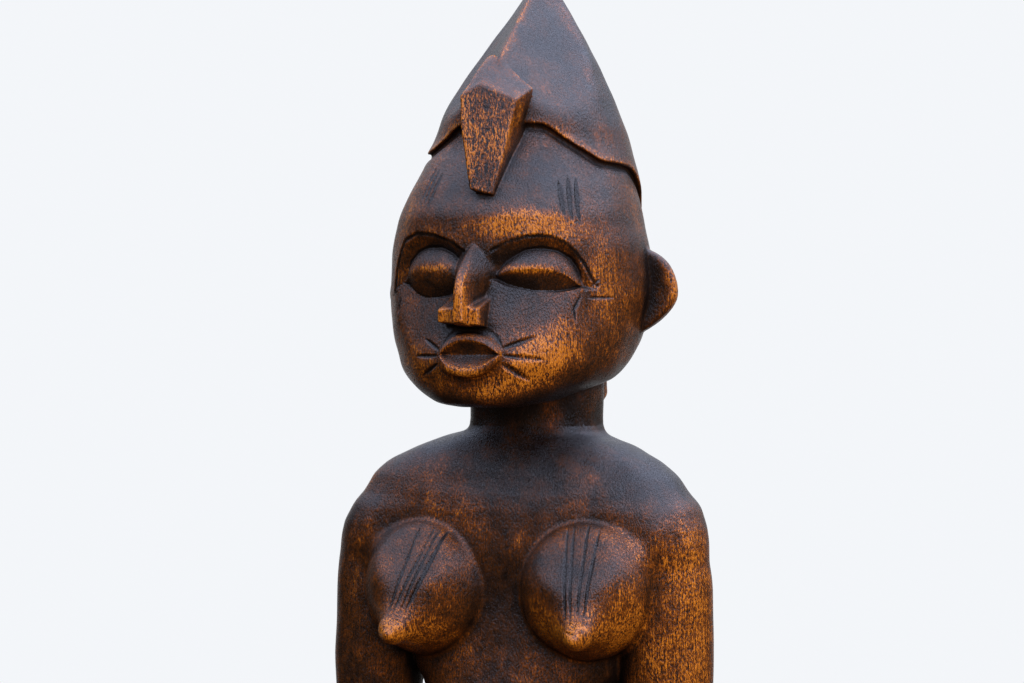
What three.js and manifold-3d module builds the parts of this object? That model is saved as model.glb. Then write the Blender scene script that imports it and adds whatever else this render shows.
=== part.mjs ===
// A carved standing figure of a woman on a low round base, all cut from one block of wood.
// Millimetres. +Z is up, the figure faces -Y, and its left arm is on +X.
// The origin is the centre of the underside of the base.

import * as THREE from 'three';
import { ConvexGeometry } from 'three/addons/geometries/ConvexGeometry.js';
import { LoftGeometry } from 'three/addons/geometries/LoftGeometry.js';
import { mergeVertices } from 'three/addons/utils/BufferGeometryUtils.js';
import Module from 'manifold-3d';

const wasm = await Module();
wasm.setup();

// Driving dimensions: overall
const HEIGHT = 504;
const BASE_RADIUS = 72;
const BASE_HEIGHT = 22;
const BASE_EDGE = 4;

// Driving dimensions: head
const CHIN_Z = 350.4;
const CAP_RAISE = 1.8;
const KEEL_Y = -21;
const KEEL_Z = 476.4;
const FACET_NORMAL = [0.655, -0.48, 0.583];
const HAIR_AXIS_Y = 12;
const HEAD_ASIDE = 1;
const EYE_X = 19.5;
const EYE_Y = -42.5;
const EYE_HALF_WIDTH = 14;
const EYE_HOLLOW = [17, 9, 11.5];
const LID_RIDGE_Z = 397.6;
const LID_ABOVE = 7.2;
const LID_BELOW = 8.2;
const LID_RISE = 4.8;
const NOSE_X = -1.2;
const NOSE_BASE_Z = 378.8;
const NOSE_HALF_WIDTH = 6.5;
const WING_X = -2.5;
const WING_HALF = 7.5;
const WING_Y = -59.7;
const WING_Z = 384.4;
const MOUTH = [-0.4, -52.5, 368.4];
const MOUTH_HALF_WIDTH = 10.9;
const MOUTH_HALF_HEIGHT = 7.5;
const LIP_WIDTH = 2.3;
const LIP_DEPTH = 3;
const EAR_X = 38;
const EAR_Y = 9.4;
const EAR_Z = 391.5;
const EAR_HALF_HEIGHT = 15.4;
const EAR_REACH = 17.2;
const EAR_THICKNESS = 5.8;

// Driving dimensions: body
const NECK_RADIUS = 24.3;
const NECK_Y = 13;
const NECK_BASE_Z = 333;
const NECK_LENGTH = 46;
const SHOULDER_BEND = 0.0014;
const SHOULDER_ASIDE = 2.1;
const ARM_ASIDE = 1;
const BREAST_MIDDLE = { x: 29.5, y: -17, above: 13 };
const BREAST_RADII = [23.5, 22, 24.5];
const NIPPLES = [[33.8, -46.2, 272.2], [-33.4, -46.6, 271.4]];
const NIPPLE_RADIUS = 3.6;
const BREAST_TOP_NORMAL = [0, -0.838, 0.545];
const SEAT = { x: 19, y: 22, z: 170, radii: [22.5, 18, 25] };
const NAVEL = { y: -35.5, z: 212, radius: 4.2 };

// Fineness of the faceted surface
const HEAD_SIDES = 38;
const HEAD_STEPS = 21;
const BODY_SIDES = 30;
const LIMB_SIDES = 16;
const WELD = 0.01;

// Sections of the head: height, centre of the width, half width, front and back on the midline
const HEAD_SECTIONS = [
  { z: CHIN_Z, centre: -36, half: 13, front: -48, back: -24 },
  { z: 352.2, centre: -31, half: 20.5, front: -51.5, back: -14 },
  { z: 355.3, centre: -24, half: 27.3, front: -53, back: 0 },
  { z: 359.8, centre: -14, half: 35.1, front: -53.5, back: 28 },
  { z: 364.9, centre: -10, half: 39.2, front: -54.3, back: 37 },
  { z: 369.9, centre: -7, half: 41.3, front: -54, back: 44 },
  { z: 375, centre: -4.5, half: 43.3, front: -52.8, back: 48 },
  { z: 380, centre: -3, half: 44.6, front: -51.4, back: 50 },
  { z: 391, centre: 0, half: 46.6, front: -48.5, back: 52 },
  { z: 403, centre: 0, half: 46, front: -48, back: 53.5 },
  { z: 415, centre: 0, half: 43.2, front: -47.5, back: 54 },
  { z: 425, centre: 2, half: 40.3, front: -43, back: 54 },
  { z: 436, centre: 8, half: 36.8, front: -35.5, back: 52 },
  { z: 446, centre: 10, half: 33, front: -28.5, back: 49 },
  { z: 459, centre: 10, half: 27.8, front: -27, back: 45 },
  { z: 470, centre: 12, half: 22.6, front: -25.5, back: 39 },
  { z: 478, centre: 14, half: 18.6, front: -20, back: 35.5 },
  { z: 490, centre: 17, half: 11.6, front: -8, back: 30 },
  { z: 497, centre: 18.8, half: 7.4, front: 1, back: 27 },
  { z: 501, centre: 19.6, half: 4.2, front: 10, back: 24.5 },
  { z: HEIGHT - CAP_RAISE, centre: 20, half: 1.5, front: 15, back: 22.5 },
];

// Where the edge of the cap of hair runs: angle from the front of the head, and height
const HAIRLINE = [
  { degrees: 0, z: 449 },
  { degrees: 22, z: 448.5 },
  { degrees: 34, z: 443.8 },
  { degrees: 44, z: 439.6 },
  { degrees: 55, z: 436.3 },
  { degrees: 82, z: 435.5 },
  { degrees: 112, z: 426 },
  { degrees: 145, z: 402 },
  { degrees: 180, z: 386 },
];

// Sections of the shoulders, which pass into the upper arms
const SHOULDER_SECTIONS = [
  { z: 342.5, centre: 13, half: 20.5, front: -8, back: 34 },
  { z: 338.7, centre: 12, half: 29.5, front: -12.5, back: 38 },
  { z: 333.5, centre: 10, half: 43.6, front: -16, back: 39 },
  { z: 328.5, centre: 9, half: 52.2, front: -18.5, back: 39 },
  { z: 323.5, centre: 8, half: 57.7, front: -20, back: 38.5 },
  { z: 318.5, centre: 8, half: 60.4, front: -21.5, back: 38.5 },
  { z: 312.5, centre: 7, half: 62, front: -22, back: 37.5 },
  { z: 300, centre: 6, half: 62.5, front: -22, back: 35.5 },
  { z: 284, centre: 5, half: 53, front: -16, back: 31 },
  { z: 268, centre: 5, half: 40, front: -9, back: 22 },
  { z: 256, centre: 5, half: 28, front: -2, back: 12 },
];

// Sections of the trunk below the shoulders
const TRUNK_SECTIONS = [
  { z: 326, centre: 9, half: 34, front: -13, back: 33 },
  { z: 316, centre: 8, half: 42, front: -19, back: 36 },
  { z: 300, centre: 6, half: 45, front: -23, back: 36 },
  { z: 285, centre: 4, half: 44, front: -23.5, back: 34 },
  { z: 268, centre: 0, half: 42, front: -25, back: 29 },
  { z: 258, centre: -2, half: 39.5, front: -26.5, back: 27 },
  { z: 250, centre: -3, half: 35.8, front: -28, back: 25 },
  { z: 230, centre: -4, half: 32, front: -33, back: 21 },
  { z: 212, centre: -4, half: 32.5, front: -36.5, back: 21 },
  { z: 195, centre: -1, half: 38.5, front: -34, back: 28 },
  { z: 178, centre: 3, half: 44, front: -29, back: 36 },
  { z: 163, centre: 5, half: 45, front: -25, back: 38 },
  { z: 152, centre: 5, half: 39, front: -20, back: 31 },
  { z: 146, centre: 5, half: 26, front: -10, back: 20 },
];

// Sections of one arm, from inside the shoulder down to the finger tips
const ARM_SECTIONS = [
  { z: 330, x: 36, y: 6, halfX: 5, halfY: 8 },
  { z: 318, x: 46, y: 3, halfX: 10.5, halfY: 13 },
  { z: 306, x: 52.5, y: 0, halfX: 14.8, halfY: 16.6 },
  { z: 285, x: 54, y: -0.5, halfX: 16.7, halfY: 17.4 },
  { z: 262, x: 54.5, y: -1, halfX: 16.7, halfY: 16.8 },
  { z: 243, x: 55, y: -2, halfX: 15.4, halfY: 15.6 },
  { z: 228, x: 55.6, y: -6, halfX: 12.8, halfY: 13.6 },
  { z: 208, x: 54, y: -13, halfX: 11, halfY: 11.4 },
  { z: 190, x: 50.5, y: -19.5, halfX: 9, halfY: 9.4 },
  { z: 180, x: 48, y: -22.5, halfX: 9.4, halfY: 8.6 },
  { z: 168, x: 45.5, y: -25.5, halfX: 10.4, halfY: 7.6 },
  { z: 156, x: 43.5, y: -27, halfX: 9.6, halfY: 6.4 },
  { z: 149, x: 42.5, y: -26.5, halfX: 6, halfY: 4 },
];

// Sections of one leg, from inside the hip down into the base
const LEG_SECTIONS = [
  { z: 178, x: 22, y: 6, halfX: 17, halfY: 20 },
  { z: 162, x: 23, y: 4, halfX: 22, halfY: 26 },
  { z: 140, x: 24, y: 0, halfX: 20, halfY: 24 },
  { z: 118, x: 24, y: -4, halfX: 17.5, halfY: 20 },
  { z: 100, x: 24, y: -6, halfX: 16, halfY: 17.5 },
  { z: 84, x: 24.5, y: 2, halfX: 16, halfY: 17.5 },
  { z: 66, x: 24.5, y: 7, halfX: 15, halfY: 17 },
  { z: 48, x: 25, y: 8, halfX: 12.5, halfY: 14 },
  { z: 36, x: 25, y: 8, halfX: 12.5, halfY: 15 },
  { z: 18, x: 25, y: 8, halfX: 13, halfY: 17 },
];

// Sections of one foot, from the heel forward: place, half width and height above the base
const FOOT_SECTIONS = [
  { y: 26, x: 25, half: 8, height: 8 },
  { y: 20, x: 25, half: 12.5, height: 15 },
  { y: 5, x: 25.5, half: 13.5, height: 20 },
  { y: -15, x: 26.5, half: 15, height: 16 },
  { y: -32, x: 28, half: 16.5, height: 11 },
  { y: -43, x: 28.5, half: 15.5, height: 7.5 },
  { y: -48, x: 28.5, half: 11, height: 4 },
];

const FOOT_STEPS = 10;
const FOOT_SIDES = 14;
const SOLE_DEPTH = 6;

// The block on the forehead: corners of its leaning face, each as x and z, and where it runs in to
const BLOCK_CORNERS = [[-3.9, 424.9], [4.9, 423.4], [11.2, 456], [-2, 461.5], [-9.4, 457.7]];
const BLOCK_FACE_Y = -46.3;
const BLOCK_FACE_Z = 425;
const BLOCK_BACKS = [[-2, -20, 477], [-1.5, -22, 458], [11.6, -18, 465.2], [0, -30, 425], [5.5, -25, 424]];

// Side view of the ridge of the nose, from its base up to its root
const NOSE_RIDGE = [
  { y: -63.4, z: NOSE_BASE_Z, half: 1.9 },
  { y: -63, z: 387.6, half: 1.6 },
  { y: -62.2, z: 391.5, half: 1.4 },
  { y: -60.4, z: 395, half: 1.2 },
  { y: -53.6, z: 401.5, half: 0.9 },
  { y: -47, z: 406.8, half: 0.4 },
];

// Smooth interpolation between sections, without overshoot.
function slope(sections, key, at, field) {
  const here = sections[at];
  const before = sections[Math.max(0, at - 1)];
  const after = sections[Math.min(sections.length - 1, at + 1)];
  const left = at > 0 ? (here[field] - before[field]) / (here[key] - before[key]) : null;
  const right = at < sections.length - 1 ? (after[field] - here[field]) / (after[key] - here[key]) : null;
  if (left === null) {
    return right;
  }
  if (right === null) {
    return left;
  }
  return left * right <= 0 ? 0 : (2 * left * right) / (left + right);
}

function between(sections, key, value, field) {
  const way = Math.sign(sections[sections.length - 1][key] - sections[0][key]);
  let at = 0;
  while (at < sections.length - 2 && way * value > way * sections[at + 1][key]) {
    at += 1;
  }
  const low = sections[at];
  const high = sections[at + 1];
  const span = high[key] - low[key];
  const t = THREE.MathUtils.clamp((value - low[key]) / span, 0, 1);
  const startSlope = slope(sections, key, at, field) * span;
  const endSlope = slope(sections, key, at + 1, field) * span;
  const t2 = t * t;
  const t3 = t2 * t;
  return (2 * t3 - 3 * t2 + 1) * low[field] + (t3 - 2 * t2 + t) * startSlope
    + (3 * t2 - 2 * t3) * high[field] + (t3 - t2) * endSlope;
}

// Solids from three.js geometry
function bare(geometry) {
  const copy = new THREE.BufferGeometry().copy(geometry);
  copy.deleteAttribute('normal');
  copy.deleteAttribute('uv');
  return mergeVertices(copy, 1e-4);
}

function solid(geometry) {
  const merged = bare(geometry);
  const mesh = new wasm.Mesh({
    numProp: 3,
    vertProperties: new Float32Array(merged.attributes.position.array),
    triVerts: new Uint32Array(merged.index.array),
  });
  return new wasm.Manifold(mesh);
}

// The surface of a solid, with points closer than the weld distance made one
// and the slivers between them dropped
function geometryOf(manifold) {
  const mesh = manifold.getMesh();
  const raw = new THREE.BufferGeometry();
  raw.setAttribute('position', new THREE.BufferAttribute(new Float32Array(mesh.vertProperties), 3));
  raw.setIndex(new THREE.BufferAttribute(new Uint32Array(mesh.triVerts), 1));
  const geometry = mergeVertices(raw, WELD);
  const index = geometry.index.array;
  const kept = [];
  for (let i = 0; i < index.length; i += 3) {
    const [a, b, c] = [index[i], index[i + 1], index[i + 2]];
    if (a !== b && b !== c && c !== a) {
      kept.push(a, b, c);
    }
  }
  geometry.setIndex(kept);
  geometry.computeVertexNormals();
  return geometry;
}

function union(parts) {
  return parts.reduce((whole, part) => whole.add(part));
}

// The same piece on the other side of the body
function mirrored(geometry) {
  const copy = bare(geometry).scale(-1, 1, 1);
  const index = copy.index.array;
  for (let i = 0; i < index.length; i += 3) {
    [index[i], index[i + 1]] = [index[i + 1], index[i]];
  }
  return copy;
}

function pair(geometry) {
  return union([solid(geometry), solid(mirrored(geometry))]);
}

// A horizontal ring with its own front and back, squarer as power rises above 2
function ring(z, section, sides, power, grow = 0) {
  const points = [];
  for (let i = 0; i < sides; i += 1) {
    const angle = (i / sides) * Math.PI * 2;
    const across = Math.sign(Math.cos(angle)) * Math.abs(Math.cos(angle)) ** (2 / power);
    const along = Math.sign(Math.sin(angle)) * Math.abs(Math.sin(angle)) ** (2 / power);
    const depth = along < 0 ? section.centre - section.front + grow : section.back - section.centre + grow;
    points.push(new THREE.Vector3(across * (section.half + grow), section.centre + along * depth, z));
  }
  return points;
}

function sectionAt(sections, z) {
  return {
    centre: between(sections, 'z', z, 'centre'),
    half: between(sections, 'z', z, 'half'),
    front: between(sections, 'z', z, 'front'),
    back: between(sections, 'z', z, 'back'),
  };
}

// A stack of horizontal rings, closer together towards both ends
function stack(sections, steps, sides, power, grow = 0) {
  const first = sections[0].z;
  const last = sections[sections.length - 1].z;
  const rings = [];
  for (let i = 0; i <= steps; i += 1) {
    const z = first + (last - first) * (0.5 - 0.5 * Math.cos((Math.PI * i) / steps));
    rings.push(ring(z + (i === steps ? grow : 0), sectionAt(sections, z), sides, power, grow));
  }
  return rings;
}

function upward(rings) {
  const sorted = rings[0][0].z < rings[rings.length - 1][0].z ? rings : rings.slice().reverse();
  return new LoftGeometry(sorted, { capStart: true, capEnd: true });
}

// Everything on one side of a plane, as a block with one face on it
function blockBeyond(point, normal, size) {
  const direction = new THREE.Vector3(...normal).normalize();
  const block = new THREE.BoxGeometry(size, size, size).translate(0, 0, size / 2);
  block.applyQuaternion(new THREE.Quaternion().setFromUnitVectors(new THREE.Vector3(0, 0, 1), direction));
  return block.translate(...point);
}

// The same rings moved sideways, by an amount that depends on the height
function aside(rings, amountAt) {
  for (const points of rings) {
    for (const point of points) {
      point.x -= amountAt(point.z);
    }
  }
  return rings;
}

// Head and cap of hair, which stands slightly to the figure's right between jaw and hairline
function headAside(z) {
  const { smoothstep } = THREE.MathUtils;
  return HEAD_ASIDE * smoothstep(z, 365, 385) * smoothstep(450 - z, 0, 15);
}

function headRings(grow) {
  return aside(stack(HEAD_SECTIONS, HEAD_STEPS, HEAD_SIDES, 2.05, grow), headAside);
}

function facetCuts(sunk) {
  const [nx, ny, nz] = FACET_NORMAL;
  const point = [0, KEEL_Y - ny * -sunk, KEEL_Z - nz * sunk];
  return union([
    solid(blockBeyond(point, [nx, ny, nz], 160)),
    solid(blockBeyond(point, [-nx, ny, nz], 160)),
  ]);
}

function aboveHairline() {
  const rimRadii = [8, 20, 90];
  const under = HAIRLINE[HAIRLINE.length - 1].z - 6;
  const rings = rimRadii.map((radius) => {
    const points = [];
    for (let i = 0; i < HEAD_SIDES; i += 1) {
      const angle = (i / HEAD_SIDES) * Math.PI * 2;
      const fromFront = Math.abs(THREE.MathUtils.radToDeg(Math.atan2(Math.cos(angle), -Math.sin(angle))));
      const z = radius < 20 ? under : between(HAIRLINE, 'degrees', fromFront, 'z');
      points.push(new THREE.Vector3(radius * Math.cos(angle), HAIR_AXIS_Y + radius * Math.sin(angle), z));
    }
    return points;
  });
  rings.push(rings[2].map((point) => new THREE.Vector3(point.x, point.y, HEIGHT + 20)));
  return solid(new LoftGeometry(rings, { capStart: true, capEnd: true }));
}

function cap() {
  return solid(upward(headRings(CAP_RAISE))).intersect(aboveHairline()).subtract(facetCuts(0));
}

function headCore() {
  return solid(upward(headRings(0))).subtract(facetCuts(CAP_RAISE));
}

function hull(points) {
  return solid(new ConvexGeometry(points.map((point) => new THREE.Vector3(...point))));
}

// A wedge-shaped block that stands out from the forehead under a small pitched roof
function foreheadBlock() {
  const face = BLOCK_CORNERS.map(([x, z]) => [x, BLOCK_FACE_Y + 0.17 * x + 0.2 * (z - BLOCK_FACE_Z), z]);
  return hull([...face, ...BLOCK_BACKS]);
}

function nose() {
  const points = [];
  const wings = [];
  for (const side of [-1, 1]) {
    for (const { y, z, half } of NOSE_RIDGE) {
      points.push([NOSE_X + side * half, y, z]);
    }
    points.push([NOSE_X + side * NOSE_HALF_WIDTH, -40, NOSE_BASE_Z]);
    points.push([NOSE_X + side * (NOSE_HALF_WIDTH - 1.5), -38, 404]);
    const wing = WING_X + side * WING_HALF;
    wings.push([wing, WING_Y, NOSE_BASE_Z], [wing, WING_Y, WING_Z]);
    wings.push([wing, -42, NOSE_BASE_Z], [wing, -42, WING_Z + 4]);
  }
  return hull(points).add(hull(wings));
}

function eyeHollow() {
  const ball = new THREE.SphereGeometry(1, 16, 10).scale(...EYE_HOLLOW);
  return ball.translate(EYE_X, EYE_Y - 6.5, LID_RIDGE_Z + 0.5);
}

// An almond lid whose upper and lower faces meet in a level ridge
function eyelid() {
  const points = [];
  const steps = 8;
  for (let i = 0; i <= steps; i += 1) {
    const across = -1 + (2 * i) / steps;
    const bow = Math.sqrt(Math.max(0, 1 - across * across));
    const x = EYE_X + across * EYE_HALF_WIDTH;
    const y = EYE_Y + 0.012 * (x - 6) ** 2;
    points.push(new THREE.Vector3(x, y - LID_RISE * bow, LID_RIDGE_Z));
    points.push(new THREE.Vector3(x, y + 1, LID_RIDGE_Z + LID_ABOVE * bow));
    points.push(new THREE.Vector3(x, y + 1, LID_RIDGE_Z - LID_BELOW * bow));
    points.push(new THREE.Vector3(x, y + 10, LID_RIDGE_Z));
  }
  return new ConvexGeometry(points);
}

function lips() {
  const outer = new THREE.CylinderGeometry(1.2, 1, 12, 24)
    .scale(MOUTH_HALF_WIDTH, 1, MOUTH_HALF_HEIGHT)
    .translate(...MOUTH);
  const dish = new THREE.SphereGeometry(1, 18, 8)
    .scale(MOUTH_HALF_WIDTH - LIP_WIDTH, LIP_DEPTH, MOUTH_HALF_HEIGHT - LIP_WIDTH)
    .translate(MOUTH[0], MOUTH[1] - 6, MOUTH[2]);
  return { outer, dish };
}

// A flat ear, round above and straight down to the jaw below
function ear() {
  const outline = new THREE.Shape();
  const turn = THREE.MathUtils.degToRad(-5);
  outline.absellipse(0, 0, EAR_REACH, EAR_HALF_HEIGHT, turn, Math.PI / 2, false);
  outline.lineTo(-6, EAR_HALF_HEIGHT - 3);
  outline.lineTo(-6, 3 - EAR_HALF_HEIGHT);
  outline.lineTo(5.3, 0.4 - EAR_HALF_HEIGHT);
  const settings = { depth: EAR_THICKNESS, bevelEnabled: false, curveSegments: 14 };
  const slab = new THREE.ExtrudeGeometry(outline, settings);
  return slab.rotateX(Math.PI / 2).translate(EAR_X, EAR_Y, EAR_Z);
}

// A small ledge of hair at the nape
function napeWedge() {
  const points = [];
  for (const side of [-1, 1]) {
    points.push([side * 19, 41.2, 352.8], [side * 22, 31, 368], [side * 22, 20, 368]);
    points.push([side * 17.6, 31, 346], [side * 17.6, 20, 346]);
  }
  return hull(points);
}

function head() {
  const mouth = lips();
  return headCore()
    .subtract(pair(eyeHollow()))
    .add(pair(eyelid()))
    .add(cap())
    .add(foreheadBlock())
    .add(nose())
    .add(solid(mouth.outer))
    .subtract(solid(mouth.dish))
    .add(pair(ear()))
    .add(napeWedge());
}

// Body
function neck() {
  const column = new THREE.CylinderGeometry(NECK_RADIUS, NECK_RADIUS, NECK_LENGTH, 16).rotateX(Math.PI / 2);
  return solid(column.translate(0, NECK_Y, NECK_BASE_Z + NECK_LENGTH / 2));
}

// The figure's right shoulder slopes a little higher up the neck
function shoulderAside(z) {
  const { smoothstep } = THREE.MathUtils;
  return SHOULDER_ASIDE * smoothstep(z, 314, 332) * smoothstep(346 - z, 0, 8);
}

function shoulders() {
  const rings = stack(SHOULDER_SECTIONS, 12, BODY_SIDES, 2.3);
  for (const points of rings) {
    for (const point of points) {
      point.y -= SHOULDER_BEND * point.x * point.x;
    }
  }
  return solid(upward(aside(rings, shoulderAside)));
}

function trunk() {
  return solid(upward(stack(TRUNK_SECTIONS, 16, BODY_SIDES, 2.15)));
}

function buttocks() {
  return pair(new THREE.SphereGeometry(1, 16, 10).scale(...SEAT.radii).translate(SEAT.x, SEAT.y, SEAT.z));
}

// A full round form drawn out to its tip, with one flat face on top
function breast(nipple) {
  const [x, y, z] = nipple;
  const round = new THREE.SphereGeometry(1, 20, 12).scale(...BREAST_RADII);
  round.translate(Math.sign(x) * BREAST_MIDDLE.x, BREAST_MIDDLE.y, z + BREAST_MIDDLE.above);
  const tip = new THREE.SphereGeometry(NIPPLE_RADIUS, 10, 6).translate(x, y + NIPPLE_RADIUS, z);
  const points = [];
  for (const { attributes } of [round, tip]) {
    for (let i = 0; i < attributes.position.count; i += 1) {
      points.push(new THREE.Vector3().fromBufferAttribute(attributes.position, i));
    }
  }
  const top = blockBeyond([x, y - 0.6, z + 3], BREAST_TOP_NORMAL, 80);
  return solid(new ConvexGeometry(points)).subtract(solid(top));
}

function breasts() {
  return union(NIPPLES.map(breast));
}

// Oval rings of a limb, on the left for side 1 and on the right for side -1
function limbRings(sections, steps, side) {
  const first = sections[0].z;
  const last = sections[sections.length - 1].z;
  const rings = [];
  for (let i = 0; i <= steps; i += 1) {
    const z = first + ((last - first) * i) / steps;
    const x = between(sections, 'z', z, 'x');
    const y = between(sections, 'z', z, 'y');
    const halfX = between(sections, 'z', z, 'halfX');
    const halfY = between(sections, 'z', z, 'halfY');
    const points = [];
    for (let j = 0; j < LIMB_SIDES; j += 1) {
      const angle = (j / LIMB_SIDES) * Math.PI * 2;
      points.push(new THREE.Vector3(side * x + halfX * Math.cos(angle), y + halfY * Math.sin(angle), z));
    }
    rings.push(points);
  }
  return rings;
}

function armAside(z) {
  return ARM_ASIDE * THREE.MathUtils.smoothstep(z, 215, 240);
}

function arms() {
  return union([-1, 1].map((side) => solid(upward(aside(limbRings(ARM_SECTIONS, 16, side), armAside)))));
}

function legs() {
  return union([-1, 1].map((side) => solid(upward(limbRings(LEG_SECTIONS, 12, side)))));
}

function feet() {
  const rings = [];
  const heel = FOOT_SECTIONS[0].y;
  const toe = FOOT_SECTIONS[FOOT_SECTIONS.length - 1].y;
  for (let i = 0; i <= FOOT_STEPS; i += 1) {
    const y = heel + ((toe - heel) * i) / FOOT_STEPS;
    const x = between(FOOT_SECTIONS, 'y', y, 'x');
    const half = between(FOOT_SECTIONS, 'y', y, 'half');
    const height = between(FOOT_SECTIONS, 'y', y, 'height');
    const points = [];
    for (let j = 0; j < FOOT_SIDES; j += 1) {
      const angle = (j / FOOT_SIDES) * Math.PI * 2;
      const up = Math.sin(angle) > 0 ? height : SOLE_DEPTH;
      points.push(new THREE.Vector3(x + half * Math.cos(angle), y, BASE_HEIGHT - 2 + up * Math.sin(angle)));
    }
    rings.push(points);
  }
  return pair(new LoftGeometry(rings, { capStart: true, capEnd: true }));
}

function base() {
  const profile = [
    new THREE.Vector2(0, 0),
    new THREE.Vector2(BASE_RADIUS - 1, 0),
    new THREE.Vector2(BASE_RADIUS, 1.5),
    new THREE.Vector2(BASE_RADIUS, BASE_HEIGHT - BASE_EDGE),
    new THREE.Vector2(BASE_RADIUS - 1.2, BASE_HEIGHT - 1.4),
    new THREE.Vector2(BASE_RADIUS - BASE_EDGE, BASE_HEIGHT),
    new THREE.Vector2(0, BASE_HEIGHT),
  ];
  return solid(new THREE.LatheGeometry(profile, 64).rotateX(Math.PI / 2));
}

function navel() {
  const ball = new THREE.SphereGeometry(NAVEL.radius, 14, 10).scale(1, 1.2, 1);
  return solid(ball.translate(0, NAVEL.y, NAVEL.z));
}

const carving = union([
  head(),
  neck(),
  shoulders(),
  trunk(),
  buttocks(),
  breasts(),
  navel(),
  arms(),
  legs(),
  feet(),
  base(),
]);

const wood = new THREE.MeshStandardMaterial({ color: 0x4a2612, roughness: 0.38, metalness: 0 });
const figure = new THREE.Mesh(geometryOf(carving), wood);
figure.name = 'standing_figure';

const group = new THREE.Group();
group.add(figure);

export default group;
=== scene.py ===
from concurrent.futures import ThreadPoolExecutor

import bpy
import numpy as np
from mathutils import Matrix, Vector


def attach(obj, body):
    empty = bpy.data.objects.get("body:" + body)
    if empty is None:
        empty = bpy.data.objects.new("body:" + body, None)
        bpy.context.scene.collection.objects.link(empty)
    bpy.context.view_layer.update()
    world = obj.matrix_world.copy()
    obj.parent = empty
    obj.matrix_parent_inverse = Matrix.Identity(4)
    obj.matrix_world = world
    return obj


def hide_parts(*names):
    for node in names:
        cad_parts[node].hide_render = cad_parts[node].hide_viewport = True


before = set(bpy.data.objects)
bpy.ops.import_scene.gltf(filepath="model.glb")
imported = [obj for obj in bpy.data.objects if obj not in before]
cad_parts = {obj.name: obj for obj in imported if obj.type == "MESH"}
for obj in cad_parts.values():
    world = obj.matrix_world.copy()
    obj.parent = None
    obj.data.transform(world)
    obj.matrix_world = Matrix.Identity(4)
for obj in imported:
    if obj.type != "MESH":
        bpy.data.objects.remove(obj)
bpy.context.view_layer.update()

# Main sizes of the figure, in millimetres: x to its left, y to its back, z up from the floor
HEIGHT = 504.0
CHIN_Z = 350.4
CAP_RAISE = 1.8
NECK_Y, NECK_RADIUS = 13.0, 24.3
NECK_LOW, NECK_HIGH = 322, 376
NECK_FLATS, NECK_FLAT_DEPTH, NECK_FLAT_TURN = 7, 0.35, 0.6
BASE_RADIUS, BASE_HEIGHT, BASE_EDGE = 72.0, 22.0, 4.0

# A distance that counts as far from any surface
FAR = 60.0


# Smooth values between named sections, without overshoot
def eased(keys, values, at):
    keys = np.asarray(keys, float)
    values = np.asarray(values, float)
    spans = np.diff(keys)
    rises = np.diff(values) / spans
    slopes = np.zeros_like(values)
    slopes[0], slopes[-1] = rises[0], rises[-1]
    product = rises[:-1] * rises[1:]
    total = rises[:-1] + rises[1:]
    slopes[1:-1] = np.where(product > 0, 2 * product / np.where(total == 0, 1, total), 0)
    place = np.clip(np.searchsorted(keys, at, side="right") - 1, 0, len(keys) - 2)
    t = np.clip((at - keys[place]) / spans[place], 0, 1)
    start, end = values[place], values[place + 1]
    lead, tail = slopes[place] * spans[place], slopes[place + 1] * spans[place]
    return (
        (2 * t**3 - 3 * t**2 + 1) * start
        + (t**3 - 2 * t**2 + t) * lead
        + (3 * t**2 - 2 * t**3) * end
        + (t**3 - t**2) * tail
    )


class Sections:
    """Rows of (key, value, value, ...), read as smooth curves and as their slopes along the key."""

    STEP = 0.2

    def __init__(self, rows):
        rows = sorted(rows)
        keys = [row[0] for row in rows]
        self.low, self.high = keys[0], keys[-1]
        fine = np.arange(self.low, self.high + self.STEP, self.STEP)
        columns = list(zip(*rows))[1:]
        self.tables = [eased(keys, column, fine).astype(np.float32) for column in columns]
        self.slopes = [np.gradient(table, self.STEP).astype(np.float32) for table in self.tables]

    def at(self, key):
        place = np.clip((key - self.low) / self.STEP, 0, len(self.tables[0]) - 1.001)
        index = place.astype(np.int32)
        part = (place - index).astype(np.float32)
        values = [table[index] * (1 - part) + table[index + 1] * part for table in self.tables]
        return values, [slope[index] for slope in self.slopes]


# Two shapes joined, with the join rounded over a radius
def smooth_min(a, b, radius):
    near = np.maximum(radius - np.abs(a - b), 0) / radius
    return np.minimum(a, b) - near * near * radius * 0.25


# What two shapes have in common, with the edge rounded over a radius
def smooth_max(a, b, radius):
    return -smooth_min(-a, -b, radius)


# Smooth rise from 0 at low to 1 at high
def ramp(value, low, high):
    t = np.clip((value - low) / (high - low), 0, 1)
    return t * t * (3 - 2 * t)


# A stack of level rings, each with its own front and back, squarer as power rises above 2
def stack(x, y, z, sections, power, grow=0.0):
    (centre, half, front, back), (d_centre, d_half, d_front, d_back) = sections.at(z)
    ahead = y < centre
    deep = np.where(ahead, centre - front, back - centre) + grow
    d_deep = np.where(ahead, d_centre - d_front, d_back - d_centre)
    half = half + grow
    u = np.abs(x) / half
    v = np.abs(y - centre) / deep
    up, vp = u ** (power - 1), v ** (power - 1)
    q = (up * u + vp * v) ** (1 / power) + 1e-6
    scale = q ** (1 - power)
    qu, qv = up * scale, vp * scale
    side = np.where(ahead, -1.0, 1.0)
    qx, qy = qu / half, qv / deep
    qz = -qx * u * d_half - qy * (side * d_centre + v * d_deep)
    return (q - 1) / np.sqrt(qx * qx + qy * qy + qz * qz + 1e-8)


# Height over a flat that has this normal and passes through this point
def flat(x, y, z, normal, through):
    return normal[0] * (x - through[0]) + normal[1] * (y - through[1]) + normal[2] * (z - through[2])


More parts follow.
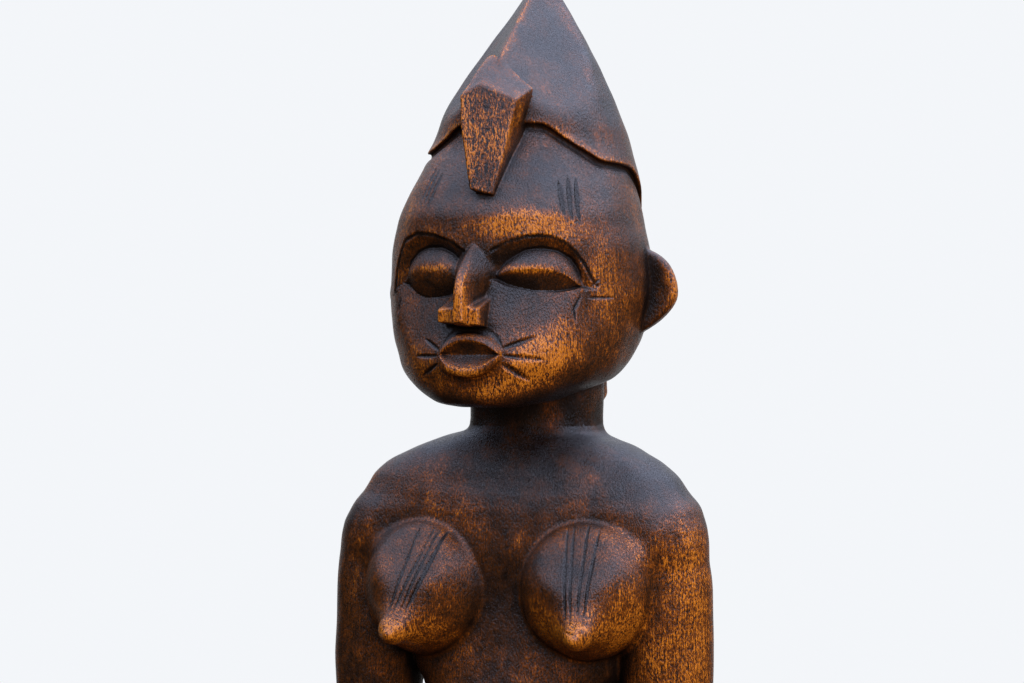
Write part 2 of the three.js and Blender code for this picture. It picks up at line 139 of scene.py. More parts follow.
# A limb of oval rings around its own middle line, the same on both sides
def limb(x, y, z, sections):
    (middle_x, middle_y, wide, deep), (d_x, d_y, d_wide, d_deep) = sections.at(z)
    u = (np.abs(x) - middle_x) / wide
    v = (y - middle_y) / deep
    q = np.sqrt(u * u + v * v) + 1e-6
    qx, qy = u / (q * wide), v / (q * deep)
    qz = -qx * (d_x + u * d_wide) - qy * (d_y + v * d_deep)
    return (q - 1) / np.sqrt(qx * qx + qy * qy + qz * qz + 1e-8)


# A round form with its own radius along each axis
def egg(x, y, z, centre, radii):
    u = (x - centre[0]) / radii[0]
    v = (y - centre[1]) / radii[1]
    w = (z - centre[2]) / radii[2]
    q = np.sqrt(u * u + v * v + w * w) + 1e-6
    steep = np.sqrt((u / radii[0]) ** 2 + (v / radii[1]) ** 2 + (w / radii[2]) ** 2) / q
    return (q - 1) / (steep + 1e-6)


# A cone with rounded ends between two balls
def round_cone(x, y, z, start, end, start_radius, end_radius):
    along = [end[i] - start[i] for i in range(3)]
    length = sum(step * step for step in along)
    px, py, pz = x - start[0], y - start[1], z - start[2]
    t = np.clip((px * along[0] + py * along[1] + pz * along[2]) / length, 0, 1)
    gap = np.sqrt((px - along[0] * t) ** 2 + (py - along[1] * t) ** 2 + (pz - along[2] * t) ** 2)
    return gap - (start_radius + (end_radius - start_radius) * t)


# Head: height, place of the greatest width, half width, front, back
HEAD = Sections([
    (CHIN_Z, -36, 13, -48, -24), (352.2, -31, 20.5, -51.5, -14), (355.3, -24, 27.3, -53, 0),
    (359.8, -14, 35.1, -53.5, 28), (364.9, -10, 39.2, -54.3, 37), (369.9, -7, 41.3, -54, 44),
    (375, -4.5, 43.3, -52.8, 48), (380, -3, 44.6, -51.4, 50), (391, 0, 46.6, -48.5, 52),
    (403, 0, 46, -48, 53.5), (415, 0, 43.2, -47.5, 54), (425, 2, 40.3, -43, 54),
    (436, 8, 36.8, -35.5, 52), (446, 10, 33, -28.5, 49), (459, 10, 27.8, -27, 45),
    (470, 12, 22.6, -25.5, 39), (478, 14, 18.6, -20, 35.5), (490, 17, 11.6, -8, 30),
    (497, 18.8, 7.4, 1, 27), (501, 19.2, 5.2, 7.5, 25.5), (HEIGHT - CAP_RAISE, 19.4, 4.4, 9, 25),
])

# Lower edge of the hair cap: degrees round from the front, height
HAIRLINE = Sections([
    (0, 449), (22, 448.5), (34, 443.8), (44, 439.6), (55, 436.3), (82, 435.5), (112, 426), (145, 402),
    (180, 386),
])

# Shoulders and trunk: the same columns as the head
SHOULDERS = Sections([
    (256, 5, 28, -2, 12), (268, 5, 40, -9, 22), (284, 5, 53, -16, 31), (300, 6, 62.5, -22, 35.5),
    (312.5, 7, 62, -22, 37.5), (318.5, 8, 59.8, -21.5, 38.5), (323.5, 8, 57.7, -20, 38.5),
    (328.5, 9, 52.2, -18.5, 39), (333.5, 10, 43.6, -16, 39), (338.7, 12, 29.5, -12.5, 38),
    (342.5, 13, 19, -8, 34),
])
TRUNK = Sections([
    (146, 5, 26, -10, 20), (152, 5, 39, -20, 31), (163, 5, 45, -25, 38), (178, 3, 44, -29, 36),
    (195, -1, 38.5, -34, 28), (212, -4, 32.5, -36.5, 21), (230, -4, 32, -33, 21),
    (250, -3, 35.8, -28, 25), (258, -2, 39.5, -26.5, 27), (268, 0, 42, -25, 29), (285, 4, 44, -23.5, 34),
    (300, 6, 45, -23, 36), (316, 8, 42, -19, 36), (326, 9, 34, -13, 33), (334, 10, 22, -8, 28),
])

# Arm and leg: height, middle across, middle from front to back, half width, half depth
ARM = Sections([
    (149, 42.5, -26.5, 6, 4), (156, 43.5, -27, 9.6, 6.4), (168, 45.5, -25.5, 10.4, 7.6),
    (180, 48, -22.5, 9.4, 8.6), (190, 50.5, -19.5, 9, 9.4), (208, 54, -13, 11, 11.4),
    (228, 55.6, -6, 12.8, 13.6), (243, 55, -2, 15.4, 15.6), (262, 54.5, -1, 16.7, 16.8),
    (285, 54, -0.5, 16.7, 17.4), (306, 52.5, 0, 14.8, 16.6), (318, 46, 3, 10.5, 13), (330, 36, 6, 5, 8),
])
LEG = Sections([
    (18, 25, 8, 13, 17), (36, 25, 8, 12.5, 15), (48, 25, 8, 12.5, 14), (66, 24.5, 7, 15, 17),
    (84, 24.5, 2, 16, 17.5), (100, 24, -6, 16, 17.5), (118, 24, -4, 17.5, 20), (140, 24, 0, 20, 24),
    (162, 23, 4, 22, 26), (178, 22, 6, 17, 20),
])

# Foot: distance back, middle across, half width, height above the base
FOOT = Sections([
    (-48, 28.5, 11, 4), (-43, 28.5, 15.5, 7.5), (-32, 28, 16.5, 11), (-15, 26.5, 15, 16),
    (5, 25.5, 13.5, 20), (20, 25, 12.5, 15), (26, 25, 8, 8),
])

# Nose: height, ridge, half width of the worn strip on the ridge, flare of its sides
NOSE = Sections([
    (376, -63.4, 1.9, 0.14), (380, -63.3, 1.8, 0.14), (387.6, -63, 1.6, 0.2), (391.5, -62.2, 1.4, 0.28),
    (395, -60.4, 1.2, 0.4), (401.5, -53.6, 0.9, 0.6), (406.8, -47, 0.4, 0.7), (410, -43, 0.3, 0.7),
])
NOSE_X = -1.2
NOSE_TIP_Y, NOSE_BACK_Y = -60, -38
NOSE_LOW, NOSE_HIGH = 378.8, 408
WING_X, WING_HALF, WING_FRONT, WING_TOP = -2.5, 7.5, -59.7, 384.4

# Eye, seen from the front: distance from the middle, lower edge, ridge of the lid, upper edge, brow line
LEFT_EYE = Sections([
    (3.5, 394.8, 394.9, 395.2, 404.2), (6.3, 394.2, 395.2, 396.6, 405.2),
    (10, 392.4, 396.6, 400.5, 406.6), (15.7, 390.9, 397.3, 403.8, 408.4),
    (20, 390.2, 397.6, 404.4, 408.9), (24.4, 390.1, 397.1, 403.9, 408.5),
    (28.5, 390.7, 395.4, 401.2, 406.4), (31.2, 391.4, 392.9, 396.4, 403.4),
    (32.4, 391.7, 391.8, 392.3, 401.8), (33.9, 391.6, 391.7, 391.9, 398.9),
    (35.8, 391.2, 391.3, 391.4, 394), (36.6, 391, 391.1, 391.2, 391.3),
])
RIGHT_EYE = Sections([
    (3.5, 392.6, 392.9, 394.2, 404), (6.5, 390.6, 395.0, 399.8, 405.3), (10, 389, 396.6, 403.2, 407.1),
    (14.8, 388.2, 397.6, 405.1, 409.2), (20.8, 388.4, 398.0, 405.2, 410.1),
    (25.2, 389.6, 397.4, 403.9, 410.5), (28.7, 392, 396.2, 401.3, 409.7),
    (30.6, 393.4, 394.2, 396.6, 408.8), (32, 393.6, 393.8, 394.4, 407.4),
    (33.9, 393.4, 393.5, 393.7, 404.7), (36.6, 392, 392.1, 392.3, 397.5),
    (37.8, 391, 391.1, 391.2, 391.6),
])
SOCKET_DEPTH = 3.0
EYE_INNER, EYE_OUTER = 2.5, 39.5
EYE_LOW, EYE_HIGH = 384, 412
LID_MIDDLE, LID_HALF, LID_RISE = 19.2, 13.2, 3.4
LEFT_LID_ROUND, RIGHT_LID_ROUND = 0.9, 1.7

# Flat of each cheek: its normal, and a point on it
CHEEK = ((0.44, -0.848, 0.292), (20, -40.9, 390.5))
CHEEK_RETREAT = 9

MOUTH = (-0.4, -57.8, 368.4)
LIP_HALF, LIP_TALL = 10.9, 7.5
LIP_LEAN, LIP_CURVE = 0.2, 0.02
LIP_OPEN, LIP_DEPTH = 5.0, 3.6

EAR_X, EAR_Y, EAR_Z = 38, 6.5, 391.5
EAR_OUT, EAR_UP, EAR_DOWN = 17.2, 15.2, 15.6
EAR_HALF_THICKNESS = 2.9
EAR_CUT_X, EAR_CUT_Z = 54.6, 385
EAR_SCOOP_X, EAR_SCOOP_Z, EAR_SCOOP_DEPTH = 46, 391, 0.7

# Cap of hair: the two flats beside its crest, as a normal and a point, its hollows and its tip
FACET = ((0.655, -0.48, 0.583), (0, -21.0, 476.4))
HAIR_AXIS_Y = 12.0
CAP_HOLLOW, CAP_HOLLOW_WIDTH = 0.9, 24
TIP_TALL = 12
TIP, TIP_RADII = (0, 17, HEIGHT - 14), (14, 22, 13.9)

# Block over the forehead: front, right and left sides, ridge of the roof, foot
BLOCK_FRONT_Y, BLOCK_FRONT_Z = -46.3, 425
BLOCK_RIGHT_X, BLOCK_RIGHT_Z = 11.2, 456.4
BLOCK_LEFT_X, BLOCK_LEFT_Z = 9.4, 458.5
BLOCK_RIDGE_X, BLOCK_RIDGE_Y, BLOCK_RIDGE_Z = -2.0, -39.5, 461.5
BLOCK_FOOT_Y, BLOCK_FOOT_Z = -46.5, 424.2
BLOCK_BACK_Y = -25

# Ledge at the nape
NAPE_Y, NAPE_Z = 41.2, 352.8
NAPE_HALF, NAPE_FRONT, NAPE_TOP = 19.6, 20, 368

# Sideways unevenness of the carving: head, shoulders and arms, each to the figure's right
HEAD_SHIFT, SHOULDER_SHIFT, ARM_SHIFT = 1.0, 2.1, 1.0
SHOULDER_BEND = 0.0014

# Heights between which each form reaches
SHOULDER_TOP, SHOULDER_FOOT = 342.5, 258
TRUNK_TOP, TRUNK_FOOT = 334, 146
ARM_TOP, ARM_FOOT = 330, 149
LEG_TOP, LEG_FOOT = 178, 18

SEAT, SEAT_RADII = (19, 21, 170), (21.5, 17, 24)
NAVEL, NAVEL_RADII = (0, -36.6, 211), (4.2, 3.4, 4.2)
SPINE_DEPTH, SPINE_HALF = 1.8, 4.5

# Ends of the foot, and lines between toes and fingers, counted from the middle of foot and hand
FOOT_FRONT, FOOT_BACK = -49.5, 21
TOE_GAPS = (-9.5, -3.2, 2.8, 8.2)
FINGER_GAPS = (-5.0, 0.0, 4.8)
HAND_X, HAND_Z = 43.8, 156


# The head stands slightly to the figure's right of its crest
def head_shift(z):
    return HEAD_SHIFT * ramp(z, 365, 385) * ramp(450 - z, 0, 15)


def facet(x, y, z):
    return flat(np.abs(x), y, z, *FACET)


# Head under the cap, without face and ears
def head_form(x, y, z):
    form = smooth_max(stack(x + head_shift(z), y, z, HEAD, 2.05), facet(x, y, z) + CAP_RAISE, 1.5)
    return smooth_max(np.maximum(form, z - HEIGHT + CAP_RAISE), CHIN_Z - z, 2.0)


# Height of the cap's lower edge, a little higher on the figure's right
def hairline(x, y):
    angle = np.degrees(np.arctan2(np.abs(x), HAIR_AXIS_Y - y))
    (height,), _ = HAIRLINE.at(angle)
    return height + 6 * ramp(-x, 12, 34) * ramp(angle, 30, 70) * ramp(150 - angle, 0, 40)


# Depth carved away around the closed eyes, as seen from the front
def eye_depth(x, z):
    depth = np.zeros_like(x)
    for side, table, roundness in ((1, LEFT_EYE, LEFT_LID_ROUND), (-1, RIGHT_EYE, RIGHT_LID_ROUND)):
        at_eye = (x * side > EYE_INNER) & (x * side < EYE_OUTER) & (z > EYE_LOW) & (z < EYE_HIGH)
        here = np.nonzero(at_eye)[0]
        across = x[here] * side
        high = z[here]
        (lower, ridge, upper, brow), _ = table.at(across)
        span = 1 - np.clip(np.abs(across - LID_MIDDLE) / LID_HALF, 0, 1) ** 2.6
        rise = LID_RISE * np.sqrt(span)
        over = np.clip((high - ridge) / np.maximum(upper - ridge, 0.3), 0, 1)
        under = np.clip((ridge - high) / np.maximum(ridge - lower, 0.3), 0, 1)
        lid = np.where(high > ridge, 1 - over**1.9, 1 - 0.96 * under**roundness)
        band = np.clip((high - upper) / np.maximum(brow - upper, 0.3), 0, 1)
        fade = ramp(across, 2.5, 6.5) * (1 - ramp(across, 29, 38.5))
        socket = SOCKET_DEPTH * (1 - band**1.2) * fade
        cut = socket - np.where(high <= upper, rise * lid, 0)
        edge = ramp(high - lower, -0.9, 0.1)
        depth[here] = np.where(high > brow, 0, cut) * edge
    return depth


# Flat of each cheek, up to the lower edge of the eye
def cheek_cut(x, y, z):
    left, right = LEFT_EYE.at(x)[0][0], RIGHT_EYE.at(-x)[0][0]
    lower = np.where(x > 0, left, right)
    return flat(np.abs(x), y, z, *CHEEK) - CHEEK_RETREAT * ramp(z - lower, -0.2, 1.2)


# Ridge of the nose and its square wings
def nose(x, y, z):
    (ridge, strip, flare), (slope, _, _) = NOSE.at(z)
    across = np.abs(x - NOSE_X)
    ahead = (ridge - y) / np.sqrt(1 + slope * slope)
    side = (across - strip - flare * (y - ridge)) / np.sqrt(1 + flare * flare)
    under = NOSE_LOW - 0.06 * x - z - 0.12 * (y - NOSE_TIP_Y)
    bridge = smooth_max(smooth_max(ahead, side, 0.5), under, 0.4)
    out = np.abs(x - WING_X)
    wing_front = WING_FRONT + 0.05 * out - y
    wing_top = (z - WING_TOP + 0.1 * out - 0.35 * (y - NOSE_TIP_Y)) * 0.94
    wing = smooth_max(smooth_max(out - WING_HALF, wing_front, 0.6), wing_top, 0.6)
    wing = smooth_max(wing, under, 0.4)
    both = smooth_min(bridge, wing, 1.4)
    return np.maximum(np.maximum(both, y - NOSE_BACK_Y), z - NOSE_HIGH)


# Open oval lips around a hollow that is deepest along its middle
def lips(x, y, z):
    across = x - MOUTH[0]
    u = across / LIP_HALF
    v = (z - MOUTH[2]) / LIP_TALL
    q = np.sqrt(u * u + v * v) + 1e-6
    round_side = (q - 1) / (np.sqrt((u / LIP_HALF) ** 2 + (v / LIP_TALL) ** 2) / q)
    front = MOUTH[1] + LIP_LEAN * (z - MOUTH[2]) + LIP_CURVE * across * across - y
    ring = smooth_max(round_side, front, 2.4)
    opening = LIP_OPEN * np.clip(1 - (across / (LIP_HALF - 0.4)) ** 2, 0.02, 1) ** 0.8
    valley = LIP_DEPTH * np.clip(1 - np.abs(z - MOUTH[2] - 0.1) / opening, 0, 1) ** 0.9
    valley = valley * np.clip(opening / LIP_OPEN * 1.4, 0, 1)
    return np.maximum(ring + valley, y + 40)


# A thin disc with its lower outer part cut away, and hollowed in front
def ear(x, y, z):
    ax = np.abs(x)
    u = (ax - EAR_X) / EAR_OUT
    v = np.where(z > EAR_Z, (z - EAR_Z) / EAR_UP, (EAR_Z - z) / EAR_DOWN)
    outline = (np.sqrt(np.maximum(u, 0) ** 2 + v * v) - 1) * 13.5
    outline = smooth_max(outline, 0.683 * (ax - EAR_CUT_X) - 0.73 * (z - EAR_CUT_Z), 3.0)
    lean = (y - EAR_Y - 0.12 * (ax - 40)) * 0.99
    scoop = EAR_SCOOP_DEPTH * np.exp(-(((ax - EAR_SCOOP_X) / 5) ** 2) - ((z - EAR_SCOOP_Z) / 8) ** 2)
    slab = smooth_max(lean - EAR_HALF_THICKNESS, -lean - EAR_HALF_THICKNESS + scoop, 0.8)
    return np.maximum(smooth_max(outline, slab, 1.6), 34 - ax)


# Six rough flats, each at its own slant
def forehead_block(x, y, z):
    lean = 0.2 * (z - BLOCK_FRONT_Z) + 0.17 * x + BLOCK_FRONT_Y
    front = (lean - y) * 0.97
    right = (x - BLOCK_RIGHT_X - 0.19 * (z - BLOCK_RIGHT_Z) - 0.02 * (y - lean)) * 0.98
    left = (-x - BLOCK_LEFT_X - 0.165 * (z - BLOCK_LEFT_Z) + 0.55 * (y - lean)) * 0.86
    out = x - BLOCK_RIDGE_X
    up = z - BLOCK_RIDGE_Z
    behind = y - BLOCK_RIDGE_Y
    roof_right = (up + 0.465 * out - (0.83 - 0.027 * out) * behind) * 0.72
    roof_left = (up - 0.32 * out - 0.83 * behind) * 0.74
    roof = smooth_max(roof_right, roof_left, 0.4)
    foot_flat = (BLOCK_FOOT_Z - 0.18 * x - z - 0.3 * (y - BLOCK_FOOT_Y)) * 0.94
    sides = smooth_max(right, left, 0.6)
    block = smooth_max(smooth_max(front, sides, 0.7), smooth_max(roof, foot_flat, 0.6), 0.6)
    return np.maximum(block, y - BLOCK_BACK_Y)


# It slopes steeply into the back of the head and undercuts towards the neck
def nape_wedge(x, y, z):
    upper = y - NAPE_Y + 0.67 * (z - NAPE_Z)
    lower = (y - NAPE_Y + 1.5 * (NAPE_Z - z)) * 0.6
    back = smooth_max(upper, lower, 2.0)
    wedge = smooth_max(back, np.abs(x) - NAPE_HALF - 0.2 * (z - NAPE_Z), 4.0)
    return np.maximum(wedge, np.maximum(NAPE_FRONT - y, z - NAPE_TOP))


# A stroke cut into the wood along points on its surface, shallower towards its ends when it is pointed
class Stroke:
    def __init__(self, points, half_width, depth, pointed):
        self.points = np.array(points, float)
        self.half_width = half_width
        self.depth = depth
        self.pointed = pointed
        steps = np.linalg.norm(np.diff(self.points[:, [0, 2]], axis=0), axis=1)
        self.places = np.concatenate([[0], np.cumsum(steps)]) / steps.sum()
        self.low = self.points.min(0) - half_width - 0.5
        self.high = self.points.max(0) + half_width + 0.5

    def cut(self, x, y, z):
        deepest = np.zeros_like(x)
        pairs = zip(self.points[:-1], self.points[1:], self.places[:-1], self.places[1:])
        for start, end, begin, finish in pairs:
            along = end - start
            px, py, pz = x - start[0], y - start[1], z - start[2]
            t = np.clip((px * along[0] + py * along[1] + pz * along[2]) / (along @ along), 0, 1)
            gap = np.sqrt((px - along[0] * t) ** 2 + (py - along[1] * t) ** 2 + (pz - along[2] * t) ** 2)
            full = 1.0
            if self.pointed:
                where = begin + (finish - begin) * t
                full = np.clip(np.sqrt(4 * where * (1 - where)), 0.25, 1)
            deepest = np.maximum(deepest, self.depth * full - gap * self.depth / self.half_width)
        return deepest


# Where a line from the front at (x, z) first meets a shape
def touch(x, z, shape):
    y = np.arange(-72, 20, 0.05, dtype=np.float32)
    inside = np.nonzero(shape(np.full_like(y, x), y, np.full_like(y, z)) < 0)[0]
    return float(y[inside[0]])


STROKE_STEP = 4.0


def stroke_on(shape, points, half_width, depth, pointed):
    line = [points[0]]
    for (x, z), (next_x, next_z) in zip(points, points[1:]):
        count = int(np.ceil(np.hypot(next_x - x, next_z - z) / STROKE_STEP))
        shares = (np.arange(count) + 1) / count
        line.extend((x + (next_x - x) * share, z + (next_z - z) * share) for share in shares)
    placed = [(x, touch(x, z, shape), z) for x, z in line]
    return Stroke(placed, half_width, depth, pointed)


def strokes_on(shape, rows, pointed=True):
    return [
        stroke_on(shape, points, half_width, depth, pointed)
        for half_width, depth, *strokes in rows
        for points in strokes
    ]


BROW_LEFT = [
    (5.2, 403.9), (9.9, 406.6), (15.7, 408.4), (20, 408.9), (24.3, 408.5), (28.4, 406.4),
    (31.4, 403.2), (33.9, 398.9), (35.8, 394.2), (37, 392),
]
BROW_RIGHT = [
    (-5, 403.6), (-9.6, 406.9), (-17.3, 409.6), (-25.2, 410.5), (-31.5, 408.4), (-33.9, 404.7),
    (-36.4, 398), (-37.4, 391),
]
LID_LEFT = [
    (6.2, 396.6), (10, 400.7), (15.7, 404.2), (20.1, 404.9), (24.4, 404.3), (28.7, 401.6),
    (31.5, 396.8), (32.6, 392.1),
]
LID_RIGHT = [
    (-6.5, 400), (-10, 403.5), (-14.8, 405.5), (-20.8, 405.6), (-25.4, 404.2), (-29, 401.3),
    (-30.8, 396.6),
]

# Strokes as rows of half width, depth and one list of points (x, z) for each stroke, seen from the front
BROW_ROWS = [(0.9, 1.1, BROW_LEFT), (0.9, 1.0, BROW_RIGHT)]

# Edges of the lids, scars beside the mouth, on temple and forehead, creases at the eyes and above the lips
FACE_ROWS = [
    (0.8, 0.6, LID_LEFT, LID_RIGHT),
    (1.15, 2.0, [(10.7, 370.5), (20.6, 374.6)], [(11.3, 368.2), (24, 366.8)]),
    (1.3, 2.2, [(10, 366.1), (19.6, 359.6)]),
    (0.9, 1.3, [(-12.2, 370), (-19.2, 373.9)], [(-12.6, 368.1), (-22.5, 368)]),
    (0.9, 1.3, [(-12.2, 365.6), (-20.6, 361)]),
    (1.1, 1.8, [(23.8, 428.4), (27.9, 415.2)]),
    (1.1, 1.9, [(26, 430), (30, 414.4)]),
    (1.1, 1.8, [(28.2, 429.2), (32, 413.4)]),
    (0.9, 1.3, [(-22, 434.2), (-24.7, 422.1)], [(-20.0, 433.4), (-23.1, 420.2)]),
    (0.9, 1.3, [(-17.8, 432), (-21.2, 418.9)]),
    (0.7, 0.9, [(37.6, 394.6), (34, 390.2)], [(34.2, 387.9), (41, 388.2)]),
    (0.75, 0.9, [(33, 389.4), (31.1, 383.9), (32, 379)]),
    (0.5, 0.5, [(-35.5, 390.6), (-39.5, 389)], [(-33.5, 388.6), (-34, 382.5)]),
    (1.0, 0.7, [(4.8, 377.6), (8.6, 374.6), (11.4, 370.4)]),
    (1.0, 0.7, [(-4.8, 377.6), (-8.6, 374.6), (-11.4, 370.4)]),
]

# Strokes down both breasts
BODY_ROWS = [
    (0.62, 1.3, [(24.6, 311.5), (30.2, 275.4)], [(27, 311.8), (32.2, 274.2)]),
    (0.62, 1.4, [(32.4, 311.6), (34.2, 274.2)]),
    (0.62, 1.3, [(36.6, 311.2), (36.2, 287.6), (36, 274.6)]),
    (0.5, 0.5, [(29.2, 275.3), (34.4, 274.3)]),
    (0.62, 1.2, [(-29.6, 308.4), (-35.6, 276)], [(-23.4, 310), (-34.2, 276)]),
    (0.62, 1.2, [(-21.4, 310), (-31.6, 276.4)]),
    (1.0, 1.4, [(-18.4, 309.4), (-24.4, 291), (-29.4, 278.6)]),
]

NIPPLES = ((33.8, -46.2, 272.2), (-33.4, -46.6, 271.4))

# Breasts: the bulk, and the cone from its root to its end, with rises counted from the nipple's height
BULK_X, BULK_Y, BULK_RISE, BULK_RADII = 29.5, -17, 14.4, (23.5, 22, 24)
ROOT_X, ROOT_Y, ROOT_RISE, ROOT_RADIUS = 30.5, -20, 9, 20
END_BACK, END_RISE, END_RADIUS = 5.2, 1.2, 5.2
BEAD_BACK, BEAD_RADII = 0.9, (2.3, 2.2, 2.2)


# Two cones with a cut upper side and a small bead at the tip
def breasts(x, y, z):
    shape = np.full_like(x, FAR)
    for tip in NIPPLES:
        side = np.sign(tip[0])
        bulk = egg(x, y, z, (side * BULK_X, BULK_Y, tip[2] + BULK_RISE), BULK_RADII)
        root = (side * ROOT_X, ROOT_Y, tip[2] + ROOT_RISE)
        end = (tip[0], tip[1] + END_BACK, tip[2] + END_RISE)
        cone = round_cone(x, y, z, root, end, ROOT_RADIUS, END_RADIUS)
        form = smooth_min(bulk, cone, 5.0)
        top = -0.838 * (y - tip[1] + 0.6) + 0.545 * (z - tip[2] - 3) + 0.05 * side * (x - tip[0])
        form = smooth_max(form, top, 1.6)
        bead = egg(x, y, z, (tip[0], tip[1] + BEAD_BACK, tip[2]), BEAD_RADII)
        shape = np.minimum(shape, smooth_min(form, bead, 1.0))
    return shape


# Both feet, with lines cut between the toes
def foot(x, y, z):
    (middle, half, tall), _ = FOOT.at(y)
    u = (np.abs(x) - middle) / half
    v = (z - BASE_HEIGHT + 1) / tall
    q = (np.abs(u) ** 2.6 + np.abs(v) ** 2.6) ** (1 / 2.6) + 1e-6
    form = (q - 1) * np.minimum(half, tall) * 0.8
    ends = np.maximum(FOOT_FRONT - y, y - FOOT_BACK)
    toes = np.zeros_like(x)
    for gap in TOE_GAPS:
        line = np.clip(1 - np.abs(np.abs(x) - middle - gap) / 0.9, 0, 1)
        toes = np.maximum(toes, line * ramp(-36 - y, 0, 3))
    return smooth_max(form + toes, ends, 3.0)


# Lines between the fingers, on the front of each hand
def hand_lines(x, y, z):
    lines = np.zeros_like(x)
    for gap in FINGER_GAPS:
        line = np.clip(1 - np.abs(np.abs(x) - HAND_X - gap - 0.06 * (z - HAND_Z)) / 0.75, 0, 1)
        lines = np.maximum(lines, line)
    return 0.9 * lines * ramp(169 - z, 0, 3) * ramp(-24 - y, 0, 2)


# Everything below the neck, with each form left out at heights where it is too far away to matter
def body(x, y, z):
    low, high = z.min(), z.max()
    shape = np.full_like(x, FAR)
    if high > 250:
        aside = x + SHOULDER_SHIFT * ramp(z, 314, 332) * ramp(346 - z, 0, 8)
        bent = stack(aside, y + SHOULDER_BEND * x * x, z, SHOULDERS, 2.3)
        shape = smooth_max(bent, np.maximum(z - SHOULDER_TOP, SHOULDER_FOOT - z), 3.0)
    if low < 340 and high > 140:
        trunk = stack(x, y, z, TRUNK, 2.15)
        trunk = smooth_max(trunk, np.maximum(z - TRUNK_TOP, TRUNK_FOOT - z), 3.0)
        shape = smooth_min(shape, trunk, 9.0 - 7 * ramp(z, 312, 334))
    if high > 240 and low < 330:
        shape = smooth_min(shape, breasts(x, y, z), 1.8)
    if low < 200 and high > 140:
        for side in (-1, 1):
            seat = egg(x, y, z, (side * SEAT[0], SEAT[1], SEAT[2]), SEAT_RADII)
            shape = smooth_min(shape, seat, 8.0)
    if low < 230 and high > 195:
        shape = smooth_min(shape, egg(x, y, z, NAVEL, NAVEL_RADII), 1.0)
    if low < 336 and high > 145:
        arms = limb(x + ARM_SHIFT * ramp(z, 215, 240), y, z, ARM)
        arms = smooth_max(arms, np.maximum(z - ARM_TOP, ARM_FOOT - z), 3.0)
        arms = arms + hand_lines(x, y, z)
        shape = smooth_min(shape, arms, 2.5 + 9 * ramp(z, 286, 304) * ramp(ARM_TOP - z, 0, 18))
    if low < 182:
        legs = smooth_max(limb(x, y, z, LEG), np.maximum(z - LEG_TOP, LEG_FOOT - z), 3.0)
        shape = smooth_min(shape, legs, 4.0)
    if low < 50:
        shape = smooth_min(shape, foot(x, y, z), 2.0)
        round_base = np.sqrt(x * x + y * y) - BASE_RADIUS
        plinth = smooth_max(round_base, np.maximum(z - BASE_HEIGHT, -z), BASE_EDGE)
        shape = smooth_min(shape, plinth, 1.2)
    spine = SPINE_DEPTH * np.exp(-((x / SPINE_HALF) ** 2)) * ramp(y, 8, 20)
    spine = spine * ramp(z, 148, 160) * ramp(330 - z, 0, 25)
    return shape + spine


# Cap of hair, slightly hollow on its flats and rounded at the tip
def cap(x, y, z):
    share = np.abs(x) / CAP_HOLLOW_WIDTH
    hollow = CAP_HOLLOW * np.clip(1 - (2 * share - 1) ** 2, 0, 1)
    outside = stack(x + head_shift(z), y, z, HEAD, 2.05, CAP_RAISE)
    form = smooth_max(outside, facet(x, y, z) + hollow, 1.4)
    if z.max() > HEIGHT - TIP_TALL:
        tip = egg(x, y, z, TIP, TIP_RADII) - FAR * ramp(HEIGHT - 6 - z, 0, 6)
        form = smooth_max(form, np.where(z > HEIGHT - TIP_TALL, tip, -FAR), 2.5)
    return smooth_max(form, (hairline(x, y) - z) * 0.85, 0.9)


# Head with face, ears, cap and block
def head(x, y, z):
    form = head_form(x, y, z)
    low, high = z.min(), z.max()
    if high > 382 and low < 414:
        form = form + np.where(y < 0, eye_depth(x, z), 0)
    if high > 366 and low < 394:
        cheeks = np.where((z < 396) & (y < -20) & (np.abs(x) > 5), cheek_cut(x, y, z), -FAR)
        form = smooth_max(form, cheeks, 1.2)
    if high > 380:
        below_edge = (z - hairline(x, y) + 1.5) / 1.2
        form = form + 0.7 * np.exp(-below_edge * below_edge)
    if high > 355 and low < 380:
        lip_hollow = np.exp(-((x / 7.5) ** 2) - ((z - 376.5) / 2.2) ** 2) * (y < -30)
        form = form + 0.9 * lip_hollow
    if high > 355 and low < 412:
        form = smooth_min(form, nose(x, y, z), 0.9)
        form = smooth_min(form, lips(x, y, z), 1.2)
        form = smooth_min(form, ear(x, y, z), 1.2)
    if high > 380:
        form = smooth_min(form, cap(x, y, z), 0.3)
    if high > 415 and low < 480:
        form = smooth_min(form, forehead_block(x, y, z), 0.5)
    return form


# Slow waves in chance directions, between -1 and 1
def waves(x, y, z, lengths, seed):
    chance = np.random.default_rng(seed)
    total = np.zeros_like(x)
    for length in lengths:
        way = chance.normal(size=3)
        way = way / np.linalg.norm(way) * (2 * np.pi / length)
        total += np.sin(way[0] * x + way[1] * y + way[2] * z + chance.uniform(0, 6.28)).astype(np.float32)
    return total / len(lengths)


CARVED_WAVES = (34, 27, 23, 19, 16, 14, 12, 10.5)
CARVED_SEED, CARVED_DEPTH = 11, 0.45
face_strokes = []
body_strokes = []


